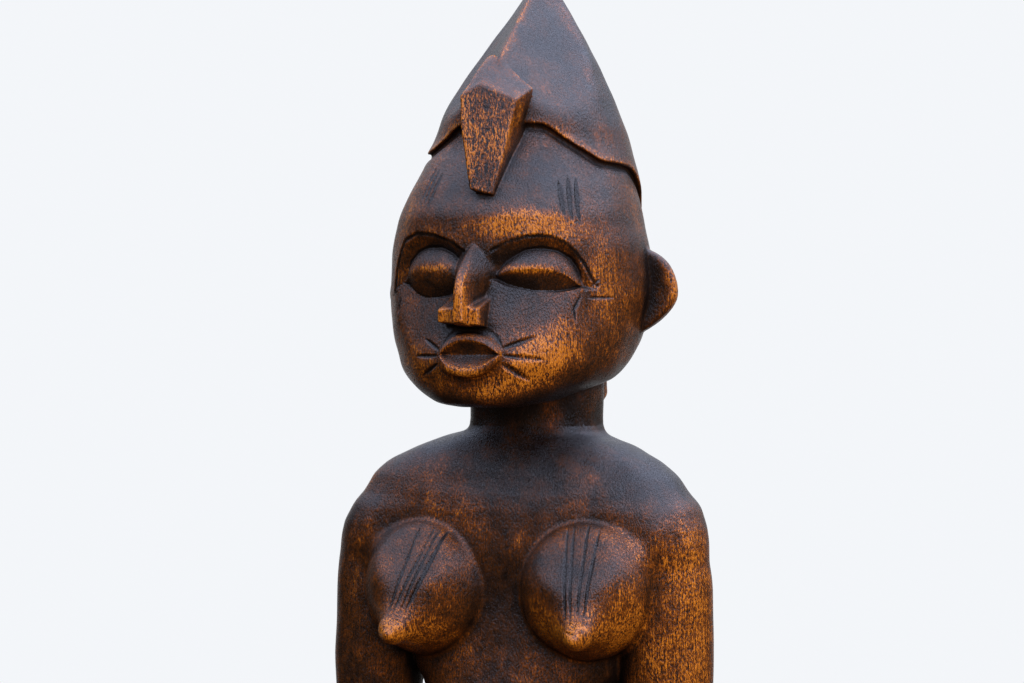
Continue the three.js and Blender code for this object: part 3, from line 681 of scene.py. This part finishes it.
def carving(x, y, z):
    """Distance to the carved surface in millimetres, below zero inside the wood"""
    low, high = z.min(), z.max()
    shape = np.full_like(x, FAR)
    if low < 352:
        shape = body(x, y, z)
    if low < 376 and high > 326:
        neck = np.sqrt(x * x + (y - NECK_Y) ** 2) - NECK_RADIUS
        angle = np.arctan2(x, y - NECK_Y)
        neck = neck + NECK_FLAT_DEPTH * np.cos(NECK_FLATS * angle + NECK_FLAT_TURN)
        neck = np.maximum(neck, np.maximum(z - NECK_HIGH, NECK_LOW - z))
        shape = smooth_min(shape, neck, 3.5)
        shape = smooth_min(shape, nape_wedge(x, y, z), 3.0)
    if high > 340:
        shape = smooth_min(shape, head(x, y, z), 1.4)
    if high > 30:
        shape = shape + CARVED_DEPTH * waves(x, y, z, CARVED_WAVES, CARVED_SEED) * ramp(z, 22, 40)
    for stroke in face_strokes + body_strokes:
        if stroke.low[2] > high or stroke.high[2] < low:
            continue
        near = (x > stroke.low[0]) & (x < stroke.high[0]) & (z > stroke.low[2]) & (z < stroke.high[2])
        near = np.nonzero(near & (y > stroke.low[1] - 2) & (y < stroke.high[1] + 2))[0]
        if len(near):
            shape[near] += stroke.cut(x[near], y[near], z[near])
    return shape


WORKERS = 4
PIECE = 30000


# Values of a shape at many points, worked out in pieces side by side
def sample(shape, points):
    parts = [points[i:i + PIECE] for i in range(0, len(points), PIECE)]

    def one(part):
        return shape(*(np.ascontiguousarray(part[:, axis], np.float32) for axis in range(3)))

    with ThreadPoolExecutor(WORKERS) as pool:
        return np.concatenate(list(pool.map(one, parts)))


# Spans of the grid as start, end and step, finer where the carving is finer
GRID = (
    [(-75, -37, 0.8), (-37, 37, 0.44), (37, 75, 0.8)],
    [(-75, -24, 0.5), (-24, 75, 0.8)],
    [(-3, 250, 1.1), (250, 345, 0.75), (345, 412, 0.45), (412, 503, 0.65)],
)
BLOCK = 4
COARSER = 1.0


# Places of the grid along one axis, a whole number of blocks long
def grid_line(spans):
    line = [spans[0][0]]
    for start, end, step in spans:
        count = int(np.ceil((end - start) / (step * COARSER)))
        line.extend(start + (end - start) * (i + 1) / count for i in range(count))
    spare = (-(len(line) - 1)) % BLOCK
    last = line[-1] - line[-2]
    line.extend(line[-1] + last * (i + 1) for i in range(spare))
    return np.array(line)


# The eight parts of a grid of points that hold one corner each of all its cells
def corner_parts(grid):
    wide, deep, tall = (count - 1 for count in grid.shape)
    for i, j, k in np.ndindex(2, 2, 2):
        yield grid[i:i + wide, j:j + deep, k:k + tall]


# Values on the grid: exact in blocks that the surface may pass through, elsewhere those of a block's corner
def grid_values(shape, lines):
    corners = np.stack(np.meshgrid(*(line[::BLOCK] for line in lines), indexing="ij"), -1)
    order = np.argsort(corners[..., 2].ravel(), kind="stable")
    rough = np.empty(corners[..., 0].size, np.float32)
    rough[order] = sample(shape, corners.reshape(-1, 3)[order])
    rough = rough.reshape(corners.shape[:3])
    reach = max(step for spans in GRID for _, _, step in spans) * COARSER * BLOCK * 1.5
    blocks = np.zeros(tuple(n - 1 for n in rough.shape), bool)
    for part in corner_parts(np.abs(rough) < reach):
        blocks |= part
    cells = blocks.repeat(BLOCK, 0).repeat(BLOCK, 1).repeat(BLOCK, 2)
    wanted = np.zeros(tuple(n + 1 for n in cells.shape), bool)
    for part in corner_parts(wanted):
        part |= cells
    picks = []
    for axis, n in enumerate(wanted.shape):
        nearest = (np.arange(n) + BLOCK // 2) // BLOCK
        picks.append(np.minimum(nearest, rough.shape[axis] - 1))
    values = rough[np.ix_(*picks)]
    index = np.nonzero(wanted)
    order = np.argsort(index[2], kind="stable")
    index = tuple(part[order] for part in index)
    values[index] = sample(shape, np.stack([lines[axis][index[axis]] for axis in range(3)], -1))
    return values


# One point a cell, at the mean of the places where the surface crosses the cell's edges
def cell_points(lines, values, cell):
    total = np.zeros((len(cell[0]), 3))
    hits = np.zeros(len(cell[0]))
    for axis in range(3):
        others = [other for other in range(3) if other != axis]
        for shift in np.ndindex(2, 2):
            start = [part.copy() for part in cell]
            start[others[0]] += shift[0]
            start[others[1]] += shift[1]
            end = [part.copy() for part in start]
            end[axis] += 1
            a, b = values[tuple(start)], values[tuple(end)]
            crossed = np.nonzero((a < 0) != (b < 0))[0]
            t = a[crossed] / (a[crossed] - b[crossed])
            for other in range(3):
                p = lines[other][start[other][crossed]]
                q = lines[other][end[other][crossed]]
                total[crossed, other] += p + (q - p) * t
            hits[crossed] += 1
    return total / hits[:, None]


# A four-sided face around each edge of the grid that the surface crosses, seen from outside
def crossing_faces(inside, cell_numbers):
    faces = []
    for axis in range(3):
        b, c = (axis + 1) % 3, (axis + 2) % 3
        here = [slice(None)] * 3
        following = [slice(None)] * 3
        here[axis], following[axis] = slice(0, -1), slice(1, None)
        change = inside[tuple(here)] != inside[tuple(following)]
        edge = list(np.nonzero(change))
        leaving = inside[tuple(here)][tuple(edge)]
        ring = []
        for back_b, back_c in ((0, 0), (1, 0), (1, 1), (0, 1)):
            place = [part.copy() for part in edge]
            place[b] -= back_b
            place[c] -= back_c
            ring.append(cell_numbers[tuple(place)])
        quad = np.stack(ring, -1)
        quad[~leaving] = quad[~leaving][:, ::-1]
        faces.append(quad)
    return np.concatenate(faces)


# The surface of a shape as points and four-sided faces
def skin(shape):
    lines = [grid_line(spans) for spans in GRID]
    values = grid_values(shape, lines)
    inside = values < 0
    full = np.ones(tuple(n - 1 for n in inside.shape), bool)
    some = ~full
    for part in corner_parts(inside):
        full &= part
        some |= part
    mixed = some & ~full
    cell = np.nonzero(mixed)
    cell_numbers = np.full(mixed.shape, -1, np.int32)
    cell_numbers[cell] = np.arange(len(cell[0]))
    return cell_points(lines, values, cell), crossing_faces(inside, cell_numbers)


# Corners of a four-sided solid, for the slope of a shape from four values
CORNERS = np.array([(1, 1, 1), (1, -1, -1), (-1, 1, -1), (-1, -1, 1)], np.float32)


# Value and slope of a shape at many points
def slope_at(shape, points, reach=0.16):
    values = [sample(shape, points + corner * reach) for corner in CORNERS]
    slope = sum(value[:, None] * corner for value, corner in zip(values, CORNERS)) / (4 * reach)
    return sum(values) / 4, slope


# Points moved onto the surface itself, by at most half a millimetre a round
def settle(shape, points, rounds=2):
    for _ in range(rounds):
        value, slope = slope_at(shape, points)
        steep = np.maximum((slope * slope).sum(1), 0.15)
        step = slope * (value / steep)[:, None]
        length = np.linalg.norm(step, axis=1, keepdims=True)
        points = points - step * np.minimum(1, 0.5 / np.maximum(length, 1e-6))
    return points


def mesh_of(points, faces):
    mesh = bpy.data.meshes.new("carved_figure")
    mesh.vertices.add(len(points))
    mesh.vertices.foreach_set("co", (points / 1000).astype(np.float32).ravel())
    mesh.loops.add(faces.size)
    mesh.loops.foreach_set("vertex_index", faces.astype(np.int32).ravel())
    mesh.polygons.add(len(faces))
    mesh.polygons.foreach_set("loop_start", np.arange(0, faces.size, faces.shape[1], dtype=np.int32))
    mesh.update(calc_edges=True)
    mesh.validate()
    return mesh


MOST_TRIANGLES = 197000


# The mesh as an object, with no more triangles than that
def thinned(mesh):
    figure = bpy.data.objects.new("carved_figure", mesh)
    bpy.context.scene.collection.objects.link(figure)
    count = sum(len(face.vertices) - 2 for face in mesh.polygons)
    if count > MOST_TRIANGLES:
        fewer = figure.modifiers.new("fewer", "DECIMATE")
        fewer.ratio = MOST_TRIANGLES / count
        ready = figure.evaluated_get(bpy.context.evaluated_depsgraph_get())
        mesh = bpy.data.meshes.new_from_object(ready)
        figure.modifiers.clear()
        figure.data = mesh
    return figure


# Places worn to bright wood or kept dark: middle, reach, strength. Some are painted light instead: a
# painted highlight on the neck, and painted shade in the mouth, under the nose, on the lower lids, on the
# upper chest, round the neck's root and between the breasts
WEAR_AND_PAINTED_HIGHLIGHT = [
    ((36, -30, 372), (8, 9, 8), 0.16), ((25, -43, 370), (8, 8, 7), 0.48),
    ((18, -49, 363), (9, 8, 6), 0.6), ((8, -52, 356), (10, 8, 5), 0.4),
    ((42, -10, 384), (7, 12, 18), 0.15), ((10, -46, 412.5), (8, 6, 3.4), 0.65),
    ((20, -42, 414), (9, 6, 3.6), 0.75), ((29, -37, 411.5), (5, 7, 3.6), 0.45),
    ((38, -26, 400), (4, 8, 12), 0.12), ((-24, -34, 420), (14, 12, 15), 0.3),
    ((-34, -32, 400), (4, 7, 12), 0.15), ((-1, -66, 385), (3.2, 6, 9), 0.9),
    ((-2.5, -61, 381.5), (11, 3, 4), 0.85), ((0, -60, 375.4), (10, 4, 1.8), 1.0),
    ((0, -61, 361.3), (10, 4, 2.4), 0.8), ((19.5, -46, 397.6), (10, 6, 1.3), 0.8),
    ((-19, -46, 398.4), (8, 6, 1.0), 0.5), ((0, -42, 441), (11, 5, 20), 0.38),
    ((22, -24, 446), (9, 6, 3), 0.25), ((11, -34, 446), (3, 5, 14), 0.2),
    ((57, 7, 391), (2.6, 6, 12), 0.9), ((19, 40, 356), (4, 8, 9), 0.6),
    # The spot at (13, -14, 350) is a painted highlight: a bright streak of reflection down the neck's right
    # front
    ((13, -14, 350), (3.4, 8, 8), 0.8), ((34, -45, 271), (13, 8, 8), 0.5),
    ((46, -28, 272), (9, 9, 12), 0.4), ((22, -36, 272), (9, 9, 10), 0.3),
    ((-34, -45, 270), (9, 7, 6), 0.45), ((-22, -36, 276), (8, 9, 12), 0.2),
    ((-30, -32, 264), (12, 9, 6), 0.2), ((64, -14, 264), (12, 12, 36), 0.34),
    ((66, -8, 300), (8, 12, 18), 0.2), ((55, -22, 300), (9, 8, 10), 0.1),
    ((16, -23, 300), (14, 6, 10), 0.1), ((0, -36, 211), (20, 8, 30), 0.15),
    ((0, 40, 172), (34, 12, 16), 0.2), ((24, -24, 100), (10, 8, 14), 0.3),
    ((-24, -24, 100), (10, 8, 14), 0.3), ((28, -44, 30), (14, 8, 8), 0.3),
    ((-28, -44, 30), (14, 8, 8), 0.3), ((46, -34, 160), (10, 6, 12), 0.3),
    ((-46, -34, 160), (10, 6, 12), 0.3), ((0, 33, 300), (40, 8, 24), 0.1),
    ((-22, -38, 364), (10, 10, 9), 0.18), ((58, 6, 212), (8, 12, 16), 0.2),
    ((-58, 6, 212), (8, 12, 16), 0.2),
]
DARK_AND_PAINTED_SHADE = [
    # The first spot is painted shade inside the mouth's hollow
    ((0, -58, 370), (8, 3, 3.4), 0.6), ((20, -45, 402), (12, 6, 2.6), 0.25),
    # The second spot is painted shade on the right eye's lower lid, which faces down
    ((-20, -45, 403), (12, 6, 3), 0.15), ((-20, -45, 392.5), (12, 6, 3.4), 0.2),
    # The first spot is a painted shadow under the nose
    ((-4, -50, 377.4), (11, 6, 1.8), 0.3), ((0, -44, 426), (34, 12, 10), 0.24),
    ((16, -48, 386), (12, 8, 9), 0.26), ((0, -50, 400), (6, 7, 7), 0.25),
    # Both spots are painted shade: the first the head's shadow on the upper chest, the second shade between
    # the breasts
    ((4, -20, 326), (30, 10, 12), 0.22), ((0, -26, 282), (9, 8, 34), 0.22),
    # The second spot is painted shade on the left eye's lower lid, which faces down
    ((40, -16, 322), (16, 10, 10), 0.1), ((20, -45, 391), (13, 4, 2.6), 0.35),
    # The first spot is painted shade round the root of the neck, under the head
    ((0, 0, 344), (40, 40, 8), 0.16), ((0, 14, 470), (34, 40, 30), 0.3),
    ((10, -32, 432), (14, 8, 9), 0.12), ((45, 3, 389), (7, 4, 14), 0.4),
    ((32, -36, 292), (18, 12, 13), 0.2), ((-30, -36, 292), (18, 12, 13), 0.14),
    ((40, 0, 338), (22, 20, 10), 0.12), ((-14, -46, 381), (9, 9, 7), 0.24),
    ((56, -4, 324), (12, 16, 10), 0.26), ((-22, -42, 404), (14, 8, 4), 0.1),
]


# Sum of soft spots at points
def patches(points, rows):
    total = np.zeros(len(points))
    for middle, reach, strength in rows:
        away = (((points - np.array(middle)) / np.array(reach)) ** 2).sum(1)
        total += strength * np.exp(-0.8 * away)
    return total


# How far out hollows are looked for, and how far in edges are, each with its weight
HOLLOW_REACHES = ((1.2, 0.4), (3.5, 0.35), (9.0, 0.25))
EDGE_REACHES = ((1.0, 0.6), (2.4, 0.4))
EVEN_WEAR = 0.36


# Share of the open air, or of the wood, that is missing around each point
def missing(points, away, side, reaches):
    total = np.zeros(len(points))
    for reach, weight in reaches:
        found = side * sample(carving, points + away * (side * reach)) / reach
        total += weight * np.clip(1 - found, -0.2, 1)
    return total


# Marks kept on the surface for the stain: wear with spots of painted highlight and painted shade, hollows,
# edges, strokes and the rough front of the block
def mark(figure):
    mesh = figure.data
    count = len(mesh.vertices)
    points = np.empty(count * 3, np.float32)
    mesh.vertices.foreach_get("co", points)
    points = points.reshape(-1, 3) * 1000
    order = np.argsort(points[:, 2], kind="stable")
    back = np.empty_like(order)
    back[order] = np.arange(count)
    ordered = points[order]
    _, slope = slope_at(carving, ordered)
    normal = slope / np.maximum(np.linalg.norm(slope, axis=1, keepdims=True), 1e-6)
    hollow = missing(ordered, normal, 1, HOLLOW_REACHES)[back]
    edge = missing(ordered, normal, -1, EDGE_REACHES)[back]
    normal = normal[back]
    # Wear level, which also carries the painted highlight and painted shade spots
    wear_and_painted_light = EVEN_WEAR + patches(points, WEAR_AND_PAINTED_HIGHLIGHT) - patches(points, DARK_AND_PAINTED_SHADE)
    cut = np.zeros(count)
    for stroke in face_strokes + body_strokes:
        near = np.nonzero(((points > stroke.low - 1) & (points < stroke.high + 1)).all(1))[0]
        cut[near] = np.maximum(cut[near], stroke.cut(*points[near].T))
    x, y, z = points.T
    block_front = ramp(-43 - y + 0.2 * (z - BLOCK_FRONT_Z), 0, 2) * ramp(-normal[:, 1], 0.88, 0.96)
    block_front *= (np.abs(x) < 12) & (z > 424) & (z < 463)
    marks = {"wear_and_painted_light": wear_and_painted_light, "hollow": hollow, "edge": edge, "cut": cut, "rough_front": block_front}
    for name, values in marks.items():
        layer = mesh.attributes.new(name, "FLOAT", "POINT")
        layer.data.foreach_set("value", values.astype(np.float32))
    mesh.polygons.foreach_set("use_smooth", np.ones(len(mesh.polygons), bool))
    mesh.normals_split_custom_set_from_vertices(normal.astype(np.float32))
    mesh.update()


face_strokes.extend(strokes_on(head, BROW_ROWS, pointed=False))
face_strokes.extend(strokes_on(head, FACE_ROWS))
body_strokes.extend(strokes_on(body, BODY_ROWS))
points, faces = skin(carving)
points = settle(carving, points)
figure = thinned(mesh_of(points, faces))
mark(figure)
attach(figure, "root")
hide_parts("standing_figure")


# Sockets of Blender's mix node when it mixes colours
MIX_AMOUNT, MIX_A, MIX_B, MIX_RESULT = 0, 6, 7, 2


class Nodes:
    """Adds nodes to a material or a world and links them."""

    def __init__(self, owner):
        owner.use_nodes = True
        self.tree = owner.node_tree
        self.tree.nodes.clear()

    def add(self, kind, inputs=None, **settings):
        node = self.tree.nodes.new(kind)
        for name, value in settings.items():
            setattr(node, name, value)
        self.fill(node, inputs or {})
        return node

    def fill(self, node, inputs):
        for key, value in inputs.items():
            if isinstance(value, bpy.types.NodeSocket):
                self.tree.links.new(value, node.inputs[key])
            else:
                node.inputs[key].default_value = value

    def math(self, kind, a, b=0.0, clamp=False):
        return self.add("ShaderNodeMath", {0: a, 1: b}, operation=kind, use_clamp=clamp).outputs[0]

    def scaled(self, place, scale):
        node = self.add("ShaderNodeMapping", {"Vector": place, "Scale": scale})
        return node.outputs[0]

    def noise(self, place, scale, detail, rough):
        inputs = {"Vector": place, "Scale": scale, "Detail": detail, "Roughness": rough}
        return self.add("ShaderNodeTexNoise", inputs).outputs[0]

    def spread(self, value, low, high, out_low=0.0, out_high=1.0):
        inputs = {"Value": value, "From Min": low, "From Max": high, "To Min": out_low, "To Max": out_high}
        return self.add("ShaderNodeMapRange", inputs).outputs[0]

    def mark(self, name):
        return self.add("ShaderNodeAttribute", attribute_name=name).outputs["Fac"]

    def colours(self, value, stops):
        node = self.add("ShaderNodeValToRGB", {0: value})
        ramp_stops = node.color_ramp.elements
        for place, colour in stops[2:]:
            ramp_stops.new(place)
        for stop, (place, colour) in zip(ramp_stops, stops):
            stop.position = place
            stop.color = (*colour, 1)
        return node.outputs[0]

    def mix(self, amount, a, b, kind="MIX"):
        node = self.add("ShaderNodeMix", data_type="RGBA", blend_type=kind)
        self.fill(node, {MIX_AMOUNT: amount, MIX_A: a, MIX_B: b})
        return node.outputs[MIX_RESULT]


# Millimetres in a metre, the share of each pattern's scale along the grain, and the scales
MM = 1000.0
FIBRE_ALONG, PORE_ALONG, PATCH_ALONG = 0.07, 0.42, 0.6
FIBRE_SCALE, PORE_SCALE, PATCH_SCALE, CLOUD_SCALE = 2.0, 2.2, 0.05, 0.22
MOST_WORN = 0.88

# Stain over wood, from dark in the hollows to bright where it is worn through
STAIN = [
    (0.0, (0.010, 0.0045, 0.0025)), (0.15, (0.028, 0.0105, 0.004)), (0.35, (0.075, 0.022, 0.004)),
    (0.55, (0.155, 0.039, 0.005)), (0.75, (0.30, 0.076, 0.006)), (1.0, (0.66, 0.20, 0.014)),
]


# Stained and waxed wood, worn to its own colour, with painted highlight and painted shade carried in its
# wear mark
def stained_wood():
    material = bpy.data.materials.new("stained_wood")
    n = Nodes(material)
    place = n.add("ShaderNodeTexCoord").outputs["Object"]
    fibre = n.noise(n.scaled(place, (MM, MM, MM * FIBRE_ALONG)), FIBRE_SCALE, 3, 0.65)
    pore = n.noise(n.scaled(place, (MM, MM, MM * PORE_ALONG)), PORE_SCALE, 2, 0.65)
    patch = n.noise(n.scaled(place, (MM, MM, MM * PATCH_ALONG)), PATCH_SCALE, 3, 0.6)
    cloud = n.noise(n.scaled(place, (MM, MM, MM)), CLOUD_SCALE, 3, 0.6)
    # Wear mark, with painted highlight and painted shade in it
    wear_and_painted_light = n.mark("wear_and_painted_light")
    hollow = n.mark("hollow")
    edge = n.mark("edge")
    front = n.mark("rough_front")
    worn_and_painted_light = n.math("ADD", wear_and_painted_light, n.math("MULTIPLY", edge, 0.6))
    worn_and_painted_light = n.math("SUBTRACT", worn_and_painted_light, n.math("MULTIPLY", hollow, 0.6))
    worn_and_painted_light = n.math("ADD", worn_and_painted_light, n.spread(patch, 0.32, 0.68, -0.18, 0.18))
    worn_and_painted_light = n.math("ADD", worn_and_painted_light, n.spread(cloud, 0.3, 0.7, -0.12, 0.12))
    worn_and_painted_light = n.math("MINIMUM", worn_and_painted_light, MOST_WORN)
    strength = n.spread(worn_and_painted_light, 0.15, 0.8, 0.5, 3.4)
    streak = n.math("MULTIPLY", n.math("SUBTRACT", fibre, 0.5), n.math("MULTIPLY", strength, 0.7))
    fleck = n.math("MULTIPLY", n.math("SUBTRACT", pore, 0.5), strength)
    deep = n.math("MULTIPLY", n.math("MULTIPLY", n.spread(fibre, 0.52, 0.44), front), 0.45)
    tone = n.math("ADD", n.math("ADD", worn_and_painted_light, streak), fleck)
    tone = n.math("SUBTRACT", tone, deep)
    tone = n.math("SUBTRACT", tone, n.spread(n.mark("cut"), 0.1, 0.8, 0.0, 0.6))
    colour = n.colours(tone, STAIN)
    rough = n.math("ADD", n.spread(cloud, 0.3, 0.7, 0.20, 0.29), n.spread(pore, 0.5, 0.3, 0.0, 0.12))
    rough = n.math("ADD", rough, n.math("MULTIPLY", front, 0.15))
    rough = n.math("ADD", rough, n.math("MULTIPLY", n.spread(hollow, 0.2, 0.7), 0.2), True)
    height = n.math("ADD", n.spread(pore, 0.3, 0.6), n.math("MULTIPLY", fibre, 0.6))
    height = n.math("ADD", height, n.math("MULTIPLY", cloud, 0.3))
    bump = n.add("ShaderNodeBump", {"Strength": 1.0, "Distance": 0.00013, "Height": height})
    shader = n.add("ShaderNodeBsdfPrincipled", {
        "Base Color": colour, "Roughness": rough, "Normal": bump.outputs[0], "IOR": 1.5,
        "Specular IOR Level": 0.5,
    })
    n.add("ShaderNodeOutputMaterial", {"Surface": shader.outputs[0]})
    return material


wood = stained_wood()
figure.data.materials.clear()
figure.data.materials.append(wood)


# Stage: a pale floor, with a pale sky around it that stands in for the wall
def plain(name, colour, roughness):
    material = bpy.data.materials.new(name)
    n = Nodes(material)
    place = n.add("ShaderNodeTexCoord").outputs["Object"]
    grain = n.noise(place, 60, 3, 0.6)
    shade = n.mix(n.spread(grain, 0.35, 0.65), (*[c * 0.97 for c in colour], 1), (*colour, 1))
    bump = n.add("ShaderNodeBump", {"Strength": 0.2, "Distance": 0.001, "Height": grain})
    inputs = {"Base Color": shade, "Roughness": roughness, "Normal": bump.outputs[0]}
    shader = n.add("ShaderNodeBsdfPrincipled", inputs)
    n.add("ShaderNodeOutputMaterial", {"Surface": shader.outputs[0]})
    return material


def floor_disc(radius, sides):
    points = [(0, 0, 0)]
    faces = []
    for i in range(sides):
        angle = 2 * np.pi * i / sides
        points.append((radius * np.cos(angle), radius * np.sin(angle), 0))
        faces.append((0, 1 + i, 1 + (i + 1) % sides))
    mesh = bpy.data.meshes.new("floor")
    mesh.from_pydata(points, [], faces)
    floor = bpy.data.objects.new("floor", mesh)
    bpy.context.scene.collection.objects.link(floor)
    return floor


floor = floor_disc(1.3, 64)
floor.location.z = -0.0005
floor.data.materials.append(plain("pale_floor", (0.47, 0.43, 0.36), 0.8))
floor.visible_diffuse = False
floor.visible_glossy = False

# Sky by how high the view goes: 0 straight down, 0.5 level, 1 straight up
SKY = [
    (0.0, (0.04, 0.025, 0.018)), (0.48, (0.06, 0.045, 0.035)), (0.58, (0.10, 0.085, 0.08)),
    (0.68, (0.4, 0.46, 0.58)), (0.79, (1.8, 2.05, 2.8)), (1.0, (1.8, 2.05, 2.9)),
]

# The wall behind the figure as its wood mirrors it: direction and colour, then the backdrop that is seen
WALL_X, WALL_Y = -0.34, 0.94
WALL_COLOUR = (0.6, 0.6, 0.62, 1)
BACKDROP = (0.90, 0.92, 0.95, 1)

world = bpy.data.worlds.new("studio")
bpy.context.scene.world = world
bpy.context.scene.view_settings.view_transform = "Standard"
w = Nodes(world)
direction = w.add("ShaderNodeTexCoord").outputs["Generated"]
parts = w.add("ShaderNodeSeparateXYZ", {0: direction})
sky = w.colours(w.spread(parts.outputs["Z"], -1, 1), SKY)
across = w.math("MULTIPLY", parts.outputs["X"], WALL_X)
behind = w.math("ADD", across, w.math("MULTIPLY", parts.outputs["Y"], WALL_Y))
wall = w.spread(behind, 0.8, 0.98)
shaded = w.spread(parts.outputs["X"], -0.9, 0.9, 0.5, 1.5)
sky = w.mix(1.0, sky, shaded, "MULTIPLY")
studio = w.mix(wall, sky, WALL_COLOUR)
seen = w.add("ShaderNodeLightPath").outputs["Is Camera Ray"]
colour = w.mix(seen, studio, BACKDROP)
glow = w.add("ShaderNodeBackground", {"Color": colour, "Strength": 1.0})
w.add("ShaderNodeOutputWorld", {"Surface": glow.outputs[0]})


# A light panel that faces its aim
def soft_light(name, place, aim, size, power, colour):
    light = bpy.data.lights.new(name, "AREA")
    light.shape = "RECTANGLE"
    light.size, light.size_y = size
    light.energy = power
    light.color = colour
    lamp = bpy.data.objects.new(name, light)
    lamp.location = place
    lamp.rotation_euler = (Vector(aim) - Vector(place)).to_track_quat("-Z", "Y").to_euler()
    bpy.context.scene.collection.objects.link(lamp)
    return lamp


KEY_PLACE, KEY_AIM = (1.1, -1.05, 0.52), (0, 0, 0.35)
KEY_SIZE, KEY_POWER, KEY_COLOUR = (0.4, 0.6), 8.2, (1.0, 0.86, 0.72)
key = soft_light("key", KEY_PLACE, KEY_AIM, KEY_SIZE, KEY_POWER, KEY_COLOUR)
key.visible_glossy = False

# Camera at the photograph's angle
AZIMUTH, ELEVATION = np.radians(20.0), np.radians(0.0)
DISTANCE = 0.8
TARGET = Vector((-0.00407, -0.00148, 0.373))
view = bpy.data.cameras.new("camera")
view.lens = 78
view.sensor_width = 36
camera = bpy.data.objects.new("camera", view)
level = np.cos(ELEVATION)
toward = Vector((np.sin(AZIMUTH) * level, -np.cos(AZIMUTH) * level, np.sin(ELEVATION)))
camera.location = TARGET + toward * DISTANCE
camera.rotation_euler = (-toward).to_track_quat("-Z", "Y").to_euler()
bpy.context.scene.collection.objects.link(camera)
bpy.context.scene.camera = camera
